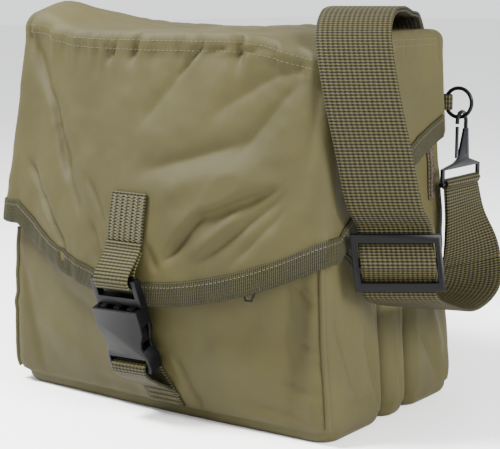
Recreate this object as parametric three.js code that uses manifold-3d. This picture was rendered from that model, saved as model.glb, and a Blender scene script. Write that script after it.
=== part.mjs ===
// A soft nylon medical kit bag: three upright compartments under one hooded flap, closed in front by a
// side-release buckle and carried on a two-inch shoulder strap that hooks to a ring at each rear corner.
// Millimetres. X runs across the bag to the wearer's view right, the front faces -Y, Z is up, and the origin
// is the middle of the flat base.
import * as THREE from 'three';
import { mergeVertices } from 'three/addons/utils/BufferGeometryUtils.js';
import Module from 'manifold-3d';

const wasm = await Module();
wasm.setup();

// Bag
const width = 286;
const depth = 176;
const height = 262;
const frontBulge = 28;
const frontDepth = 76;
const middleDepth = 34;
const cornerRadius = 13;
const shoulderRadius = 16;
const footHeight = 11;
const clothWall = 2;
const fit = 0.3;
const seamGap = 2 * fit;

// Flap
const flapWall = 2;
const flapFrontRoom = 8.5;
const flapLeftRoom = 8.5;
const flapRightRoom = 4.5;
const flapTopRoom = 6;
const flapEdgeMiddle = 90;
const flapEdgeCorner = 131;
const flapEdgeRear = 207;
const bindingWidth = 16;
const bindingWall = 1.2;

// Zips and piping
const zipWidth = 11;
const frontZipHeight = 138;
const frontZipEnd = 97;
const frontZipReach = 50;
const rearZipEnd = 153;
const rearZipInset = 26;
const pipingRadius = 2.2;
const pipingTop = 124;
const pullWire = 1.6;
const pullLength = 40;
const pullWidth = 9;
const zipSliderLength = 13;
const zipSliderWidth = 9;
const zipSliderHeight = 2.4;

// Closure
const closureWidth = 32;
const closureWall = 1.8;
const closureTop = 168;
const closureFold = 131;
const closureX = 0;
const buckleWidth = 42;
const buckleLength = 50;
const buckleDepth = 13;
const buckleHeight = 64;
const buckleX = -1;
const buckleTilt = 2;
const maleFrame = 21;
const maleBar = 5;
const maleWall = 6;

// Rings and hooks
const ringRadius = 11;
const ringWire = 3;
const ringHeight = 224;
const ringInset = 1;
const tabWidth = 12;
const tabLength = 30;
const tabWall = 1.6;
const hookWire = 3.2;
const hookRadius = 7;
const hookOut = 3;
const hookDrop = 50;
const hookSheet = 2;
const hookBar = 4;
const gateSheet = 1.6;

// Shoulder strap
const strapWidth = 50.8;
const strapWall = 1.8;
const strapLayerGap = 0.4;
const sliderHeight = 40;
const sliderRail = 6;
const sliderSide = 4;
const sliderWall = 4;
const sliderCentreBar = 6;
const sliderCentreWall = 3;

const halfWidth = width / 2;
const halfDepth = depth / 2;
const frontSeam = -halfDepth + frontDepth;
const rearSeam = frontSeam + middleDepth;
const far = 2 * (width + depth + height);

// The bag's sections from the floor up: height as a share of height, reach to each side as a share of half the
// width or depth, and the forward swell of the front as a share of frontBulge.
const sections = [
  { up: 0.00, left: 0.955, right: 0.955, front: 0.94, rear: 0.95, swell: 0.10 },
  { up: 0.05, left: 0.995, right: 0.995, front: 0.99, rear: 0.99, swell: 0.28 },
  { up: 0.14, left: 1.010, right: 1.000, front: 1.01, rear: 1.00, swell: 0.52 },
  { up: 0.30, left: 1.015, right: 1.000, front: 1.02, rear: 1.00, swell: 0.84 },
  { up: 0.46, left: 1.010, right: 0.990, front: 1.01, rear: 0.99, swell: 1.00 },
  { up: 0.62, left: 0.990, right: 0.970, front: 0.96, rear: 0.98, swell: 0.96 },
  { up: 0.80, left: 0.965, right: 0.950, front: 0.88, rear: 0.97, swell: 0.82 },
  { up: 1.00, left: 0.940, right: 0.935, front: 0.80, rear: 0.95, swell: 0.66 },
];

// Lumps of the flap's top: place as shares of half the width and depth, spread as a share of the width, and
// rise as a share of the height.
const topLumps = [
  { x: -0.78, y: 0.30, spread: 0.13, rise: 0.060 },
  { x: -0.80, y: -0.55, spread: 0.12, rise: 0.038 },
  { x: -0.10, y: 0.40, spread: 0.22, rise: 0.018 },
  { x: 0.88, y: 0.70, spread: 0.10, rise: 0.030 },
  { x: 0.10, y: -0.35, spread: 0.16, rise: -0.008 },
];

// Folds pressed into the flap's front: ends as shares of half the width and of the height, half breadth and
// depth as shares of the room between the flap and the compartments.
const flapFolds = [
  { x1: -0.92, z1: 0.92, x2: -0.62, z2: 0.55, breadth: 2.0, depth: 0.60 },
  { x1: -0.88, z1: 0.70, x2: -0.58, z2: 0.42, breadth: 2.2, depth: 0.60 },
  { x1: 0.05, z1: 0.42, x2: 0.45, z2: 0.62, breadth: 2.2, depth: 0.60 },
  { x1: 0.10, z1: 0.86, x2: -0.20, z2: 0.97, breadth: 2.2, depth: 0.50 },
  { x1: 0.70, z1: 0.68, x2: 0.88, z2: 0.88, breadth: 2.0, depth: 0.50 },
];

// The shoulder strap's middle line from the right hook to the left one: x and y as shares of half the width and
// depth, z as a share of the height, and the turn of its width from +X towards +Y in degrees, with its rise.
const shortRun = [
  { x: 1.065, y: 1.045, z: 0.520, turn: 84, rise: 0.10 },
  { x: 1.130, y: 0.970, z: 0.425, turn: 62, rise: 0.18 },
  { x: 1.200, y: 0.700, z: 0.345, turn: 32, rise: 0.10 },
  { x: 1.225, y: 0.230, z: 0.318, turn: 16, rise: 0.00 },
  { x: 1.235, y: -0.240, z: 0.350, turn: 26, rise: 0.00 },
];
const longRun = [
  { x: 1.215, y: -0.720, z: 0.630, turn: 36, rise: 0.00 },
  { x: 1.175, y: -0.800, z: 0.780, turn: 36, rise: 0.00 },
  { x: 1.100, y: -0.800, z: 0.940, turn: 36, rise: 0.00 },
  { x: 1.020, y: -0.690, z: 1.065, turn: 35, rise: 0.00 },
  { x: 0.950, y: -0.450, z: 1.120, turn: 33, rise: 0.00 },
  { x: 0.870, y: -0.080, z: 1.132, turn: 30, rise: 0.00 },
  { x: 0.760, y: 0.380, z: 1.118, turn: 24, rise: 0.00 },
  { x: 0.650, y: 0.840, z: 1.100, turn: 18, rise: 0.00 },
  { x: 0.600, y: 1.100, z: 1.020, turn: 14, rise: 0.00 },
  { x: 0.560, y: 1.190, z: 0.860, turn: 24, rise: 0.00 },
  { x: 0.440, y: 1.330, z: 0.660, turn: 50, rise: 0.00 },
  { x: 0.230, y: 1.400, z: 0.490, turn: 74, rise: 0.00 },
  { x: -0.080, y: 1.420, z: 0.380, turn: 86, rise: 0.00 },
  { x: -0.450, y: 1.450, z: 0.325, turn: 90, rise: 0.00 },
  { x: -0.820, y: 1.460, z: 0.330, turn: 98, rise: 0.00 },
  { x: -1.060, y: 1.390, z: 0.370, turn: 112, rise: 0.00 },
  { x: -1.145, y: 1.190, z: 0.445, turn: 110, rise: 0.00 },
  { x: -1.120, y: 1.045, z: 0.530, turn: 93, rise: 0.00 },
];

const vector = (x, y, z) => new THREE.Vector3(x, y, z);
const [alongX, alongY, alongZ] = [vector(1, 0, 0), vector(0, 1, 0), vector(0, 0, 1)];
const lerp = THREE.MathUtils.lerp;
const radians = THREE.MathUtils.degToRad;

// Smooth value of one column of a table at place t, on a Catmull-Rom curve through its rows.
function column(rows, key, at, t) {
  const last = rows.length - 1;
  let i = 0;
  while (i < last - 1 && t > rows[i + 1][at]) i += 1;
  const [a, b] = [rows[i], rows[i + 1]];
  const [before, after] = [rows[Math.max(i - 1, 0)], rows[Math.min(i + 2, last)]];
  const span = b[at] - a[at];
  const s = THREE.MathUtils.clamp((t - a[at]) / span, 0, 1);
  const slopeA = (b[key] - before[key]) / (b[at] - before[at]) * span;
  const slopeB = (after[key] - a[key]) / (after[at] - a[at]) * span;
  const s2 = s * s;
  const s3 = s2 * s;
  return (2 * s3 - 3 * s2 + 1) * a[key] + (s3 - 2 * s2 + s) * slopeA
    + (3 * s2 - 2 * s3) * b[key] + (s3 - s2) * slopeB;
}

// Reaches of the bag's outer form at height z.
function reach(z) {
  const t = THREE.MathUtils.clamp(z / height, 0, 1);
  const value = key => column(sections, key, 'up', t);
  return {
    left: -halfWidth * value('left'),
    right: halfWidth * value('right'),
    front: -halfDepth * value('front'),
    rear: halfDepth * value('rear'),
    swell: frontBulge * value('swell'),
  };
}

// A ring of points round a soft rectangle with rounded corners, its front swollen forward.
function softRing(box, radius, counts) {
  const points = [];
  const centres = [
    [box.right - radius, box.front + radius, -90],
    [box.right - radius, box.rear - radius, 0],
    [box.left + radius, box.rear - radius, 90],
    [box.left + radius, box.front + radius, 180],
  ];
  centres.forEach(([cx, cy, start], side) => {
    for (let i = 0; i <= counts.corner; i += 1) {
      const angle = radians(start + 90 * i / counts.corner);
      points.push([cx + radius * Math.cos(angle), cy + radius * Math.sin(angle)]);
    }
    const next = centres[(side + 1) % 4];
    const from = points[points.length - 1];
    const angle = radians(next[2]);
    const to = [next[0] + radius * Math.cos(angle), next[1] + radius * Math.sin(angle)];
    const count = side % 2 === 0 ? counts.side : counts.long;
    for (let i = 1; i < count; i += 1) {
      points.push([lerp(from[0], to[0], i / count), lerp(from[1], to[1], i / count)]);
    }
  });
  const middle = (box.left + box.right) / 2;
  const half = (box.right - box.left) / 2;
  return points.map(([x, y]) => {
    const u = (x - middle) / half;
    const weight = (box.rear - y) / (box.rear - box.front);
    return [x, y - box.swell * (1 - u * u) ** 2 * weight ** 3];
  });
}

// A closed mesh from rings of equal count, closed by a fan at each end.
function ringSolid(rings) {
  const count = rings[0].length;
  const positions = rings.flat().flatMap(p => [p.x, p.y, p.z]);
  const triangles = [];
  for (let k = 0; k < rings.length - 1; k += 1) {
    for (let i = 0; i < count; i += 1) {
      const j = (i + 1) % count;
      const [a, b] = [k * count + i, k * count + j];
      triangles.push(a, b, b + count, a, b + count, a + count);
    }
  }
  [rings[0], rings[rings.length - 1]].forEach((ring, end) => {
    const centre = positions.length / 3;
    const middle = ring.reduce((sum, p) => sum.add(p), vector(0, 0, 0)).divideScalar(count);
    positions.push(middle.x, middle.y, middle.z);
    const start = end * (rings.length - 1) * count;
    for (let i = 0; i < count; i += 1) {
      const j = (i + 1) % count;
      triangles.push(...(end ? [centre, start + i, start + j] : [centre, start + j, start + i]));
    }
  });
  const geometry = new THREE.BufferGeometry();
  geometry.setAttribute('position', new THREE.Float32BufferAttribute(positions, 3));
  geometry.setIndex(triangles);
  return geometry;
}

// A closed solid for booleans from a closed geometry, whichever way its faces point.
function solid(geometry) {
  const bare = geometry.clone();
  ['normal', 'uv'].forEach(name => bare.deleteAttribute(name));
  const merged = mergeVertices(bare, 1e-4);
  const points = merged.attributes.position.array;
  let index = Array.from(merged.index.array);
  let volume = 0;
  for (let i = 0; i < index.length; i += 3) {
    const [a, b, c] = [0, 1, 2].map(k => vector().fromArray(points, 3 * index[i + k]));
    volume += a.dot(b.cross(c));
  }
  if (volume < 0) index = index.map((_, i) => index[i - i % 3 + 2 - i % 3]);
  return new wasm.Manifold(new wasm.Mesh({
    numProp: 3,
    vertProperties: new Float32Array(points),
    triVerts: new Uint32Array(index),
  }));
}

function geometryOf(shape) {
  const mesh = shape.getMesh();
  const geometry = new THREE.BufferGeometry();
  geometry.setAttribute('position', new THREE.Float32BufferAttribute(mesh.vertProperties, 3));
  geometry.setIndex(Array.from(mesh.triVerts));
  geometry.computeVertexNormals();
  return geometry;
}

function box(low, high) {
  const geometry = new THREE.BoxGeometry(high[0] - low[0], high[1] - low[1], high[2] - low[2]);
  geometry.translate((low[0] + high[0]) / 2, (low[1] + high[1]) / 2, (low[2] + high[2]) / 2);
  return solid(geometry);
}

// A flat outline of [u, v] points carried far along X or Y, where v is Z.
function prism(outline, axis, from = -far, to = far) {
  const shape = new THREE.Shape(outline.map(([u, v]) => new THREE.Vector2(u, v)));
  const geometry = new THREE.ExtrudeGeometry(shape, { depth: to - from, bevelEnabled: false });
  const along = axis === 'y'
    ? new THREE.Matrix4().makeBasis(vector(1, 0, 0), vector(0, 0, 1), vector(0, 1, 0))
    : new THREE.Matrix4().makeBasis(vector(0, 1, 0), vector(0, 0, 1), vector(1, 0, 0));
  geometry.translate(0, 0, from);
  geometry.applyMatrix4(along);
  return solid(geometry);
}

// A round wire through a list of points that lie in one plane, closed on itself or with flat ends.
function wire(points, normal, radius, sides, closed = false) {
  const last = points.length - 1;
  const rings = points.map((point, i) => {
    const before = points[closed ? (i + last) % (last + 1) : Math.max(i - 1, 0)];
    const after = points[closed ? (i + 1) % (last + 1) : Math.min(i + 1, last)];
    const out = after.clone().sub(before).normalize().cross(normal).normalize();
    return Array.from({ length: sides }, (_, k) => {
      const angle = 2 * Math.PI * k / sides;
      return point.clone()
        .addScaledVector(normal, radius * Math.sin(angle))
        .addScaledVector(out, radius * Math.cos(angle));
    });
  });
  return solid(closed ? loopMesh(rings) : ringSolid(rings));
}

// A closed mesh from rings of equal count whose last ring joins the first.
function loopMesh(rings) {
  const [many, count] = [rings.length, rings[0].length];
  const triangles = [];
  for (let k = 0; k < many; k += 1) {
    for (let i = 0; i < count; i += 1) {
      const [a, b] = [k * count + i, k * count + (i + 1) % count];
      const [c, d] = [a, b].map(n => (n + count) % (many * count));
      triangles.push(a, b, d, a, d, c);
    }
  }
  const geometry = new THREE.BufferGeometry();
  const positions = rings.flat().flatMap(p => [p.x, p.y, p.z]);
  geometry.setAttribute('position', new THREE.Float32BufferAttribute(positions, 3));
  geometry.setIndex(triangles);
  return geometry;
}

// A flat strip through stations, each a point and the direction of the strip's width.
function ribbon(stations, breadth, thickness, lift = 0) {
  const rings = stations.map((station, i) => {
    const before = stations[Math.max(i - 1, 0)].point;
    const after = stations[Math.min(i + 1, stations.length - 1)].point;
    const along = after.clone().sub(before).normalize();
    const normal = along.clone().cross(station.across).normalize();
    return [[-1, -1], [1, -1], [1, 1], [-1, 1]].map(([a, n]) => station.point.clone()
      .addScaledVector(station.across, a * breadth / 2)
      .addScaledVector(normal, lift + n * thickness / 2));
  });
  return solid(ringSolid(rings));
}

const union = shapes => shapes.reduce((whole, shape) => whole.add(shape));

// One compartment's form between two depths, from the floor to its rounded top, drawn in by inset.
function compartmentForm(frontAt, rearAt, inset, counts, open = false) {
  const rings = [];
  const add = (z, draw, rise) => {
    const form = reach(z);
    const atFront = frontAt === null;
    const atRear = rearAt === null;
    const side = {
      left: form.left + inset + draw,
      right: form.right - inset - draw,
      front: (atFront ? form.front : frontAt) + inset + draw,
      rear: (atRear ? form.rear : rearAt) - inset - draw,
      swell: atFront ? form.swell : 0,
    };
    const radius = Math.min(cornerRadius - inset, 0.45 * (side.rear - side.front));
    rings.push(softRing(side, radius, counts).map(([x, y]) => vector(x, y, rise)));
  };
  const foot = footHeight;
  for (const angle of [0, 45, 90]) {
    const draw = foot * 0.6 * (1 - Math.sin(radians(angle)));
    add(0, draw, inset + foot * (1 - Math.cos(radians(angle))));
  }
  const top = height - inset - shoulderRadius;
  for (let i = 1; i <= counts.levels; i += 1) {
    const z = lerp(foot + inset, top, i / counts.levels);
    add(z, 0, z);
  }
  const room = Math.min(shoulderRadius * 0.55, middleDepth / 4);
  for (const angle of [45, 90]) {
    const draw = room * (1 - Math.cos(radians(angle)));
    add(height, draw, top + shoulderRadius * Math.sin(radians(angle)));
  }
  if (open) {
    add(height, room, height + 2 * shoulderRadius);
  }
  return solid(ringSolid(rings));
}

// A compartment's shell: its outer form less its inner one, both with long facets across and up.
function compartment(frontAt, rearAt, open, long) {
  const outer = compartmentForm(frontAt, rearAt, 0, { corner: 2, side: 2, long, levels: 6 });
  const inner = compartmentForm(frontAt, rearAt, clothWall, { corner: 2, side: 2, long, levels: 6 }, open);
  return outer.subtract(inner);
}

const front = compartment(null, frontSeam - seamGap / 2, false, 6);
const middle = compartment(frontSeam + seamGap / 2, rearSeam - seamGap / 2, true, 2);
const rear = compartment(rearSeam + seamGap / 2, null, false, 2);

// The band that the front zip follows, seen from the side: level across the front, then down each side.
function frontZipBand(half) {
  const line = [];
  const turn = -halfDepth + frontZipReach * 0.16;
  const end = -halfDepth + frontZipReach;
  line.push([-far, frontZipHeight]);
  for (let i = 0; i <= 8; i += 1) {
    const angle = radians(90 * i / 8);
    line.push([lerp(turn, end, Math.sin(angle)), lerp(frontZipEnd, frontZipHeight, Math.cos(angle))]);
  }
  const offset = sign => line.map(([y, z], i) => {
    const [y0, z0] = line[Math.max(i - 1, 0)];
    const [y1, z1] = line[Math.min(i + 1, line.length - 1)];
    const length = Math.hypot(y1 - y0, z1 - z0);
    return [y - sign * half * (z1 - z0) / length, z + sign * half * (y1 - y0) / length];
  });
  return prism([...offset(1), ...offset(-1).reverse()], 'x');
}

const zipStretch = zipWidth / 2;
const rearZipY = halfDepth - rearZipInset;
const rearZipBand = half => box([-far, rearZipY - half, rearZipEnd + zipStretch - half],
  [far, rearZipY + half, far]);

const frontShell = front.subtract(frontZipBand(zipStretch));
const rearShell = rear.subtract(rearZipBand(zipStretch));
const frontZip = front.intersect(frontZipBand(zipStretch - fit));
const rearZip = rear.intersect(rearZipBand(zipStretch - fit));

// Height of the flap's lower edge across the front and along the sides.
const edgeAcross = x => lerp(flapEdgeMiddle, flapEdgeCorner, Math.min(Math.abs(x / halfWidth - 0.06), 1) ** 1.9);
const wingStart = -halfDepth * 0.86;
const edgeAlong = y => {
  const s = THREE.MathUtils.clamp((y - wingStart) / (halfDepth - wingStart), 0, 1);
  return lerp(flapEdgeCorner, flapEdgeRear, s ** 0.86 * 1.04 - 0.04 * s);
};

// Displacement of the flap's front by its folds, never more than the room behind it.
function foldDepth(x, z) {
  return flapFolds.reduce((sum, fold) => {
    const a = new THREE.Vector2(fold.x1 * halfWidth, fold.z1 * height);
    const b = new THREE.Vector2(fold.x2 * halfWidth, fold.z2 * height);
    const line = b.clone().sub(a);
    const p = new THREE.Vector2(x, z).sub(a);
    const s = THREE.MathUtils.clamp(p.dot(line) / line.lengthSq(), 0, 1);
    const away = p.sub(line.multiplyScalar(s)).length() / (fold.breadth * flapFrontRoom);
    return Math.max(sum, fold.depth * flapFrontRoom * Math.exp(-away * away) * Math.sin(Math.PI * (0.15 + 0.7 * s)));
  }, 0);
}

const topLift = (x, y) => topLumps.reduce((sum, lump) => {
  const away = Math.hypot(x - lump.x * halfWidth, y - lump.y * halfDepth) / (lump.spread * width);
  return sum + lump.rise * height * Math.exp(-away * away);
}, 0);

// The flap's hood, grown outward from its inner face by offset.
function hoodForm(offset) {
  const counts = { corner: 2, side: 4, long: 12 };
  const rings = [];
  const bottom = flapEdgeMiddle - 2 * bindingWidth;
  const top = height + flapTopRoom + offset;
  const shoulder = shoulderRadius + offset;
  const add = (z, draw, rise) => {
    const form = reach(z);
    const grown = {
      left: form.left - flapLeftRoom - offset + draw,
      right: form.right + flapRightRoom + offset - draw,
      front: form.front - flapFrontRoom - offset + draw,
      rear: form.rear + fit + offset - draw,
      swell: form.swell,
    };
    rings.push(softRing(grown, cornerRadius + offset, counts).map(([x, y]) => {
      const share = THREE.MathUtils.clamp((rise - 0.8 * height) / (0.2 * height), 0, 1);
      const facing = THREE.MathUtils.clamp((-y - 0.55 * halfDepth) / (0.2 * halfDepth), 0, 1);
      return vector(x, y + facing * foldDepth(x, rise), rise + share * share * topLift(x, y));
    }));
  };
  const levels = 8;
  for (let i = 0; i <= levels; i += 1) {
    const z = lerp(bottom, top - shoulder, i / levels);
    add(z, 0, z);
  }
  for (const angle of [30, 60, 88]) {
    const draw = shoulder * 0.8 * (1 - Math.cos(radians(angle)));
    add(height, draw, top - shoulder * (1 - Math.sin(radians(angle))));
  }
  const rim = rings[rings.length - 1];
  const middleY = -0.02 * halfDepth;
  for (const share of [0.72, 0.42, 0.15]) {
    rings.push(rim.map(p => {
      const [x, y] = [p.x * lerp(0.45, 1, share), lerp(middleY, p.y, share)];
      return vector(x, y, top + topLift(x, y));
    }));
  }
  return solid(ringSolid(rings));
}

// Everything below the flap's edge, lowered by drop, and the front part or side parts of the band above it.
function belowEdge(drop) {
  const across = [];
  const along = [];
  const steps = 12;
  for (let i = 0; i <= steps; i += 1) {
    const x = lerp(-width, width, i / steps);
    across.push([x, edgeAcross(x) - drop]);
    const y = lerp(wingStart, depth, i / steps);
    along.push([y, edgeAlong(y) - drop * 1.08]);
  }
  const acrossCut = prism([[-width, -far], [width, -far], ...across.reverse()], 'y');
  const alongCut = prism([[wingStart, -far], [depth, -far], ...along.reverse()], 'x');
  return acrossCut.add(alongCut);
}

const hoodInner = hoodForm(0);
const hoodOuter = hoodForm(flapWall);
const flapShape = hoodOuter.subtract(hoodInner).subtract(belowEdge(0));

const bindingCore = hoodForm(flapWall + fit).subtract(hoodForm(-fit)).subtract(belowEdge(fit));
const bindingRearLimit = halfDepth - cornerRadius;
const bindingShape = hoodForm(flapWall + fit + bindingWall).subtract(hoodForm(-fit - bindingWall))
  .subtract(belowEdge(fit + bindingWall))
  .intersect(belowEdge(-bindingWidth))
  .subtract(bindingCore)
  .intersect(box([-far, -far, -far], [far, bindingRearLimit, far]));

// Front face of the bag below the flap, and of the flap, at a place across and up.
function faceY(x, z, room) {
  const form = reach(z);
  const centre = (form.left + form.right) / 2;
  const half = (form.right - form.left) / 2;
  const u = (x - centre) / half;
  return form.front - room - form.swell * (1 - u * u) ** 2;
}
const flapFace = (x, z) => faceY(x, z, flapFrontRoom + flapWall);
const bagFace = (x, z) => faceY(x, z, 0);

// Piping: a round cord sewn down each front corner of the front compartment.
function piping(side) {
  const points = [];
  const steps = 8;
  const inFront = cornerRadius * (1 - Math.SQRT1_2);
  for (let i = 0; i <= steps; i += 1) {
    const z = lerp(footHeight * 1.2, pipingTop, i / steps);
    const form = reach(z);
    const edge = side > 0 ? form.right : form.left;
    const out = (pipingRadius + 2 * fit) * Math.SQRT1_2;
    points.push(vector(edge - side * (inFront - out), form.front + inFront - out, z));
  }
  return wire(points, alongX, pipingRadius, 8);
}

// A zip slider with its pull: a low block on the tape and a wire loop that hangs from it.
function zipSlider(point, outward, hang) {
  const normal = outward.clone().normalize();
  const down = hang.clone().addScaledVector(normal, -hang.dot(normal)).normalize();
  const across = down.clone().cross(normal).normalize();
  const place = new THREE.Matrix4().makeBasis(across.negate(), down.clone().negate(), normal).setPosition(point);
  const body = new THREE.BoxGeometry(zipSliderWidth, zipSliderLength, zipSliderHeight);
  body.translate(0, 0, zipSliderHeight / 2);
  const loop = [];
  const out = zipSliderHeight + pullWire / 2 + fit;
  const corners = [
    [0.42, 0], [0.5, 0.03], [0.5, 0.88], [0.3, 1], [-0.3, 1], [-0.5, 0.88], [-0.5, 0.03], [-0.42, 0],
  ];
  for (const [a, b] of corners) {
    loop.push(vector(a * (pullWidth - pullWire), -b * pullLength, out));
  }
  const pull = wire(loop, alongZ, pullWire / 2, 6, true);
  const saddle = box([-pullWidth / 4, -pullWire * 1.5, zipSliderHeight - fit],
    [pullWidth / 4, pullWire * 1.5, out + pullWire + fit]);
  const hole = box([-pullWidth, -pullWire / 2 - 3 * fit, out - pullWire / 2 - fit],
    [pullWidth, pullWire / 2 + 2 * fit, out + pullWire / 2 + fit]);
  const move = shape => shape.transform(place.toArray());
  return {
    slider: move(solid(body).add(saddle).subtract(hole)),
    pull: move(pull),
  };
}

// The closure's upper webbing: a strip sewn flat on the flap, and the loop below it that holds the buckle.
const sewLift = fit + closureWall / 2;
function closurePatch() {
  const stations = [];
  for (let i = 0; i <= 4; i += 1) {
    const z = lerp(closureTop, closureFold, i / 4);
    stations.push({ point: vector(closureX, flapFace(closureX, z) - sewLift, z), across: vector(1, 0, 0) });
  }
  return ribbon(stations, closureWidth, closureWall);
}

// The buckle's own frame: middle of the body, its long axis up, its face forward.
const buckleFoot = buckleHeight - buckleLength / 2;
const buckleHead = buckleHeight + buckleLength / 2 + maleFrame;
const footBack = bagFace(buckleX, buckleFoot) - closureWall - 3 * fit;
const headBack = flapFace(buckleX, buckleHead) - bindingWall - closureWall - 4 * fit;
const buckleSlope = (footBack - headBack) / (buckleHead - buckleFoot);
const buckleAxes = new THREE.Matrix4().makeRotationX(Math.atan(buckleSlope))
  .multiply(new THREE.Matrix4().makeRotationY(radians(-buckleTilt)));
const buckleY = footBack - buckleSlope * (buckleHeight - buckleFoot) - buckleDepth / 2 - closureWall - 2 * fit;
const buckleMiddle = vector(buckleX, buckleY, buckleHeight);
const bucklePlace = buckleAxes.clone().setPosition(buckleMiddle);
const inBuckle = (a, n, s) => vector(a, n, s).applyMatrix4(bucklePlace);
const buckleAcross = vector(1, 0, 0).transformDirection(buckleAxes);
const maleTop = buckleLength / 2 + maleFrame;
const maleBarAt = maleTop - maleBar / 2;
const maleBack = buckleDepth / 2 - fit;

// Half breadths of the buckle's body from its foot to its mouth, as shares of half its width.
const buckleOutline = [
  { up: 0.00, half: 0.90 },
  { up: 0.06, half: 0.95 },
  { up: 0.24, half: 0.93 },
  { up: 0.34, half: 0.80 },
  { up: 0.40, half: 0.76 },
  { up: 0.50, half: 0.82 },
  { up: 0.62, half: 0.97 },
  { up: 0.78, half: 1.00 },
  { up: 1.00, half: 1.00 },
];
const buckleTable = buckleOutline.map(row => [row.half * buckleWidth / 2, (row.up - 0.5) * buckleLength]);
const centreWallShare = 0.62;

function buckleFemale() {
  const right = buckleTable;
  const left = buckleTable.map(([a, s]) => [-a, s]).reverse();
  const half = buckleDepth / 2;
  const body = prism([...right, ...left], 'y', -half, half);
  const mouth = box([-buckleWidth * 0.41, -half * centreWallShare, -buckleLength * 0.14],
    [buckleWidth * 0.41, half * centreWallShare, buckleLength]);
  const windows = box([-far, -half * 0.45, -buckleLength * 0.06], [far, half * 0.45, buckleLength * 0.24]);
  const slot = box([-closureWidth / 2 - 1, -far, -buckleLength * 0.41],
    [closureWidth / 2 + 1, far, -buckleLength * 0.29]);
  return body.subtract(mouth).subtract(windows).subtract(slot).transform(bucklePlace.toArray());
}

function buckleMale() {
  const half = buckleDepth / 2;
  const low = buckleLength / 2 + fit;
  const frame = box([-buckleWidth / 2, maleBack - maleWall, low], [buckleWidth / 2, maleBack, maleTop]);
  const slot = box([-closureWidth / 2 - 1, -far, low + 7], [closureWidth / 2 + 1, far, maleTop - maleBar]);
  const prongDepth = half * centreWallShare - fit;
  const prong = side => {
    const inner = buckleWidth * 0.24;
    const outer = buckleWidth * 0.41 - fit;
    const outline = [[inner, low + 0.5], [inner, -buckleLength * 0.12], [outer, -buckleLength * 0.02],
      [outer, buckleLength * 0.16], [outer - 2, low + 0.5]];
    return prism(outline.map(([a, s]) => [side * a, s]), 'y', -prongDepth, prongDepth);
  };
  const guide = box([-2.5, -prongDepth, -buckleLength * 0.08], [2.5, prongDepth, low + 0.5]);
  return union([frame.subtract(slot), prong(1), prong(-1), guide]).transform(bucklePlace.toArray());
}

// Stations of webbing that wraps a bar of the buckle, from its front round below or above to its back.
function wrapStations(barAt, barHalf, middle, barDepth, turn) {
  const out = barDepth + fit + closureWall / 2;
  const end = barHalf + fit + closureWall / 2;
  const bend = closureWall * 0.35;
  const clear = barHalf + closureWall * 0.7;
  return [
    [-out, -clear], [-out, barHalf + fit], [bend - out, end], [out - bend, end], [out, barHalf + fit], [out, -clear],
  ].map(([n, s]) => ({ point: inBuckle(0, middle + n, barAt + turn * s), across: buckleAcross }));
}

// Webbing from the flap's fold, round the buckle's top bar and back up behind it.
function closureLoop() {
  const across = vector(1, 0, 0);
  const upper = (z, lift) => vector(closureX, flapFace(closureX, z) - sewLift - lift, z);
  return ribbon([
    { point: upper(closureFold - closureWall, closureWall + fit), across },
    ...wrapStations(maleBarAt, maleBar / 2, maleBack - maleWall / 2, maleWall / 2, -1),
    { point: upper(closureFold - 2 * closureWall, 0), across },
  ], closureWidth, closureWall);
}

// The closure's lower webbing: sewn flat near the foot of the bag, then round the bar at the buckle's foot.
function closureTail() {
  const across = vector(1, 0, 0);
  const on = (x, z, lift) => ({ point: vector(x, bagFace(x, z) - sewLift - lift, z), across });
  const foot = buckleX + 14;
  const barAt = -buckleLength * 0.455;
  return ribbon([
    on(foot, footHeight, 0),
    on(foot - 4, footHeight * 2, 0),
    ...wrapStations(barAt, buckleLength * 0.045, 0, buckleDepth / 2 + fit, 1).reverse(),
    on(foot - 5, footHeight * 2.2, closureWall + 2 * fit),
  ], closureWidth, closureWall);
}

// Rings and their webbing tabs on the rear face near each corner. The tab is wide for a round ring, so its bend
// makes room for the wire's curve.
const ringSag = ringRadius - Math.sqrt(ringRadius ** 2 - (tabWidth / 2) ** 2);
const tabRound = ringWire / 2 + 2 * fit + ringSag / 2 + tabWall / 2;
function ringCentre(side) {
  const form = reach(ringHeight);
  const edge = side > 0 ? form.right : form.left;
  const lift = fit + flapWall + fit + tabWall / 2 + tabRound;
  return vector(edge + side * (ringRadius - ringInset), form.rear + lift, ringHeight);
}

function ringShape(side) {
  const centre = ringCentre(side);
  const points = [];
  for (let i = 0; i < 16; i += 1) {
    const angle = 2 * Math.PI * i / 16;
    points.push(vector(centre.x + ringRadius * Math.cos(angle), centre.y, centre.z + ringRadius * Math.sin(angle)));
  }
  return wire(points, alongY, ringWire / 2, 8, true);
}

// The tab is folded round the ring and sewn down on the flap's rear face.
function ringTab(side) {
  const centre = ringCentre(side);
  const round = tabRound;
  const bend = centre.x - side * (ringRadius - ringSag / 2);
  const across = vector(0, 0, side);
  const near = centre.y - round;
  const stations = [
    { point: vector(bend - side * tabLength, near, centre.z), across },
    { point: vector(bend - side * round, near, centre.z), across },
  ];
  for (const angle of [-45, 0, 45]) {
    const turn = radians(angle);
    stations.push({
      point: vector(bend + side * round * Math.cos(turn), centre.y + round * Math.sin(turn), centre.z), across,
    });
  }
  stations.push({ point: vector(bend - side * round, centre.y + round, centre.z), across });
  stations.push({ point: vector(bend - side * 3.2 * round, near + tabWall + fit, centre.z), across });
  stations.push({ point: vector(bend - side * tabLength, near + tabWall + fit, centre.z), across });
  return ribbon(stations, tabWidth, tabWall);
}

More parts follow.
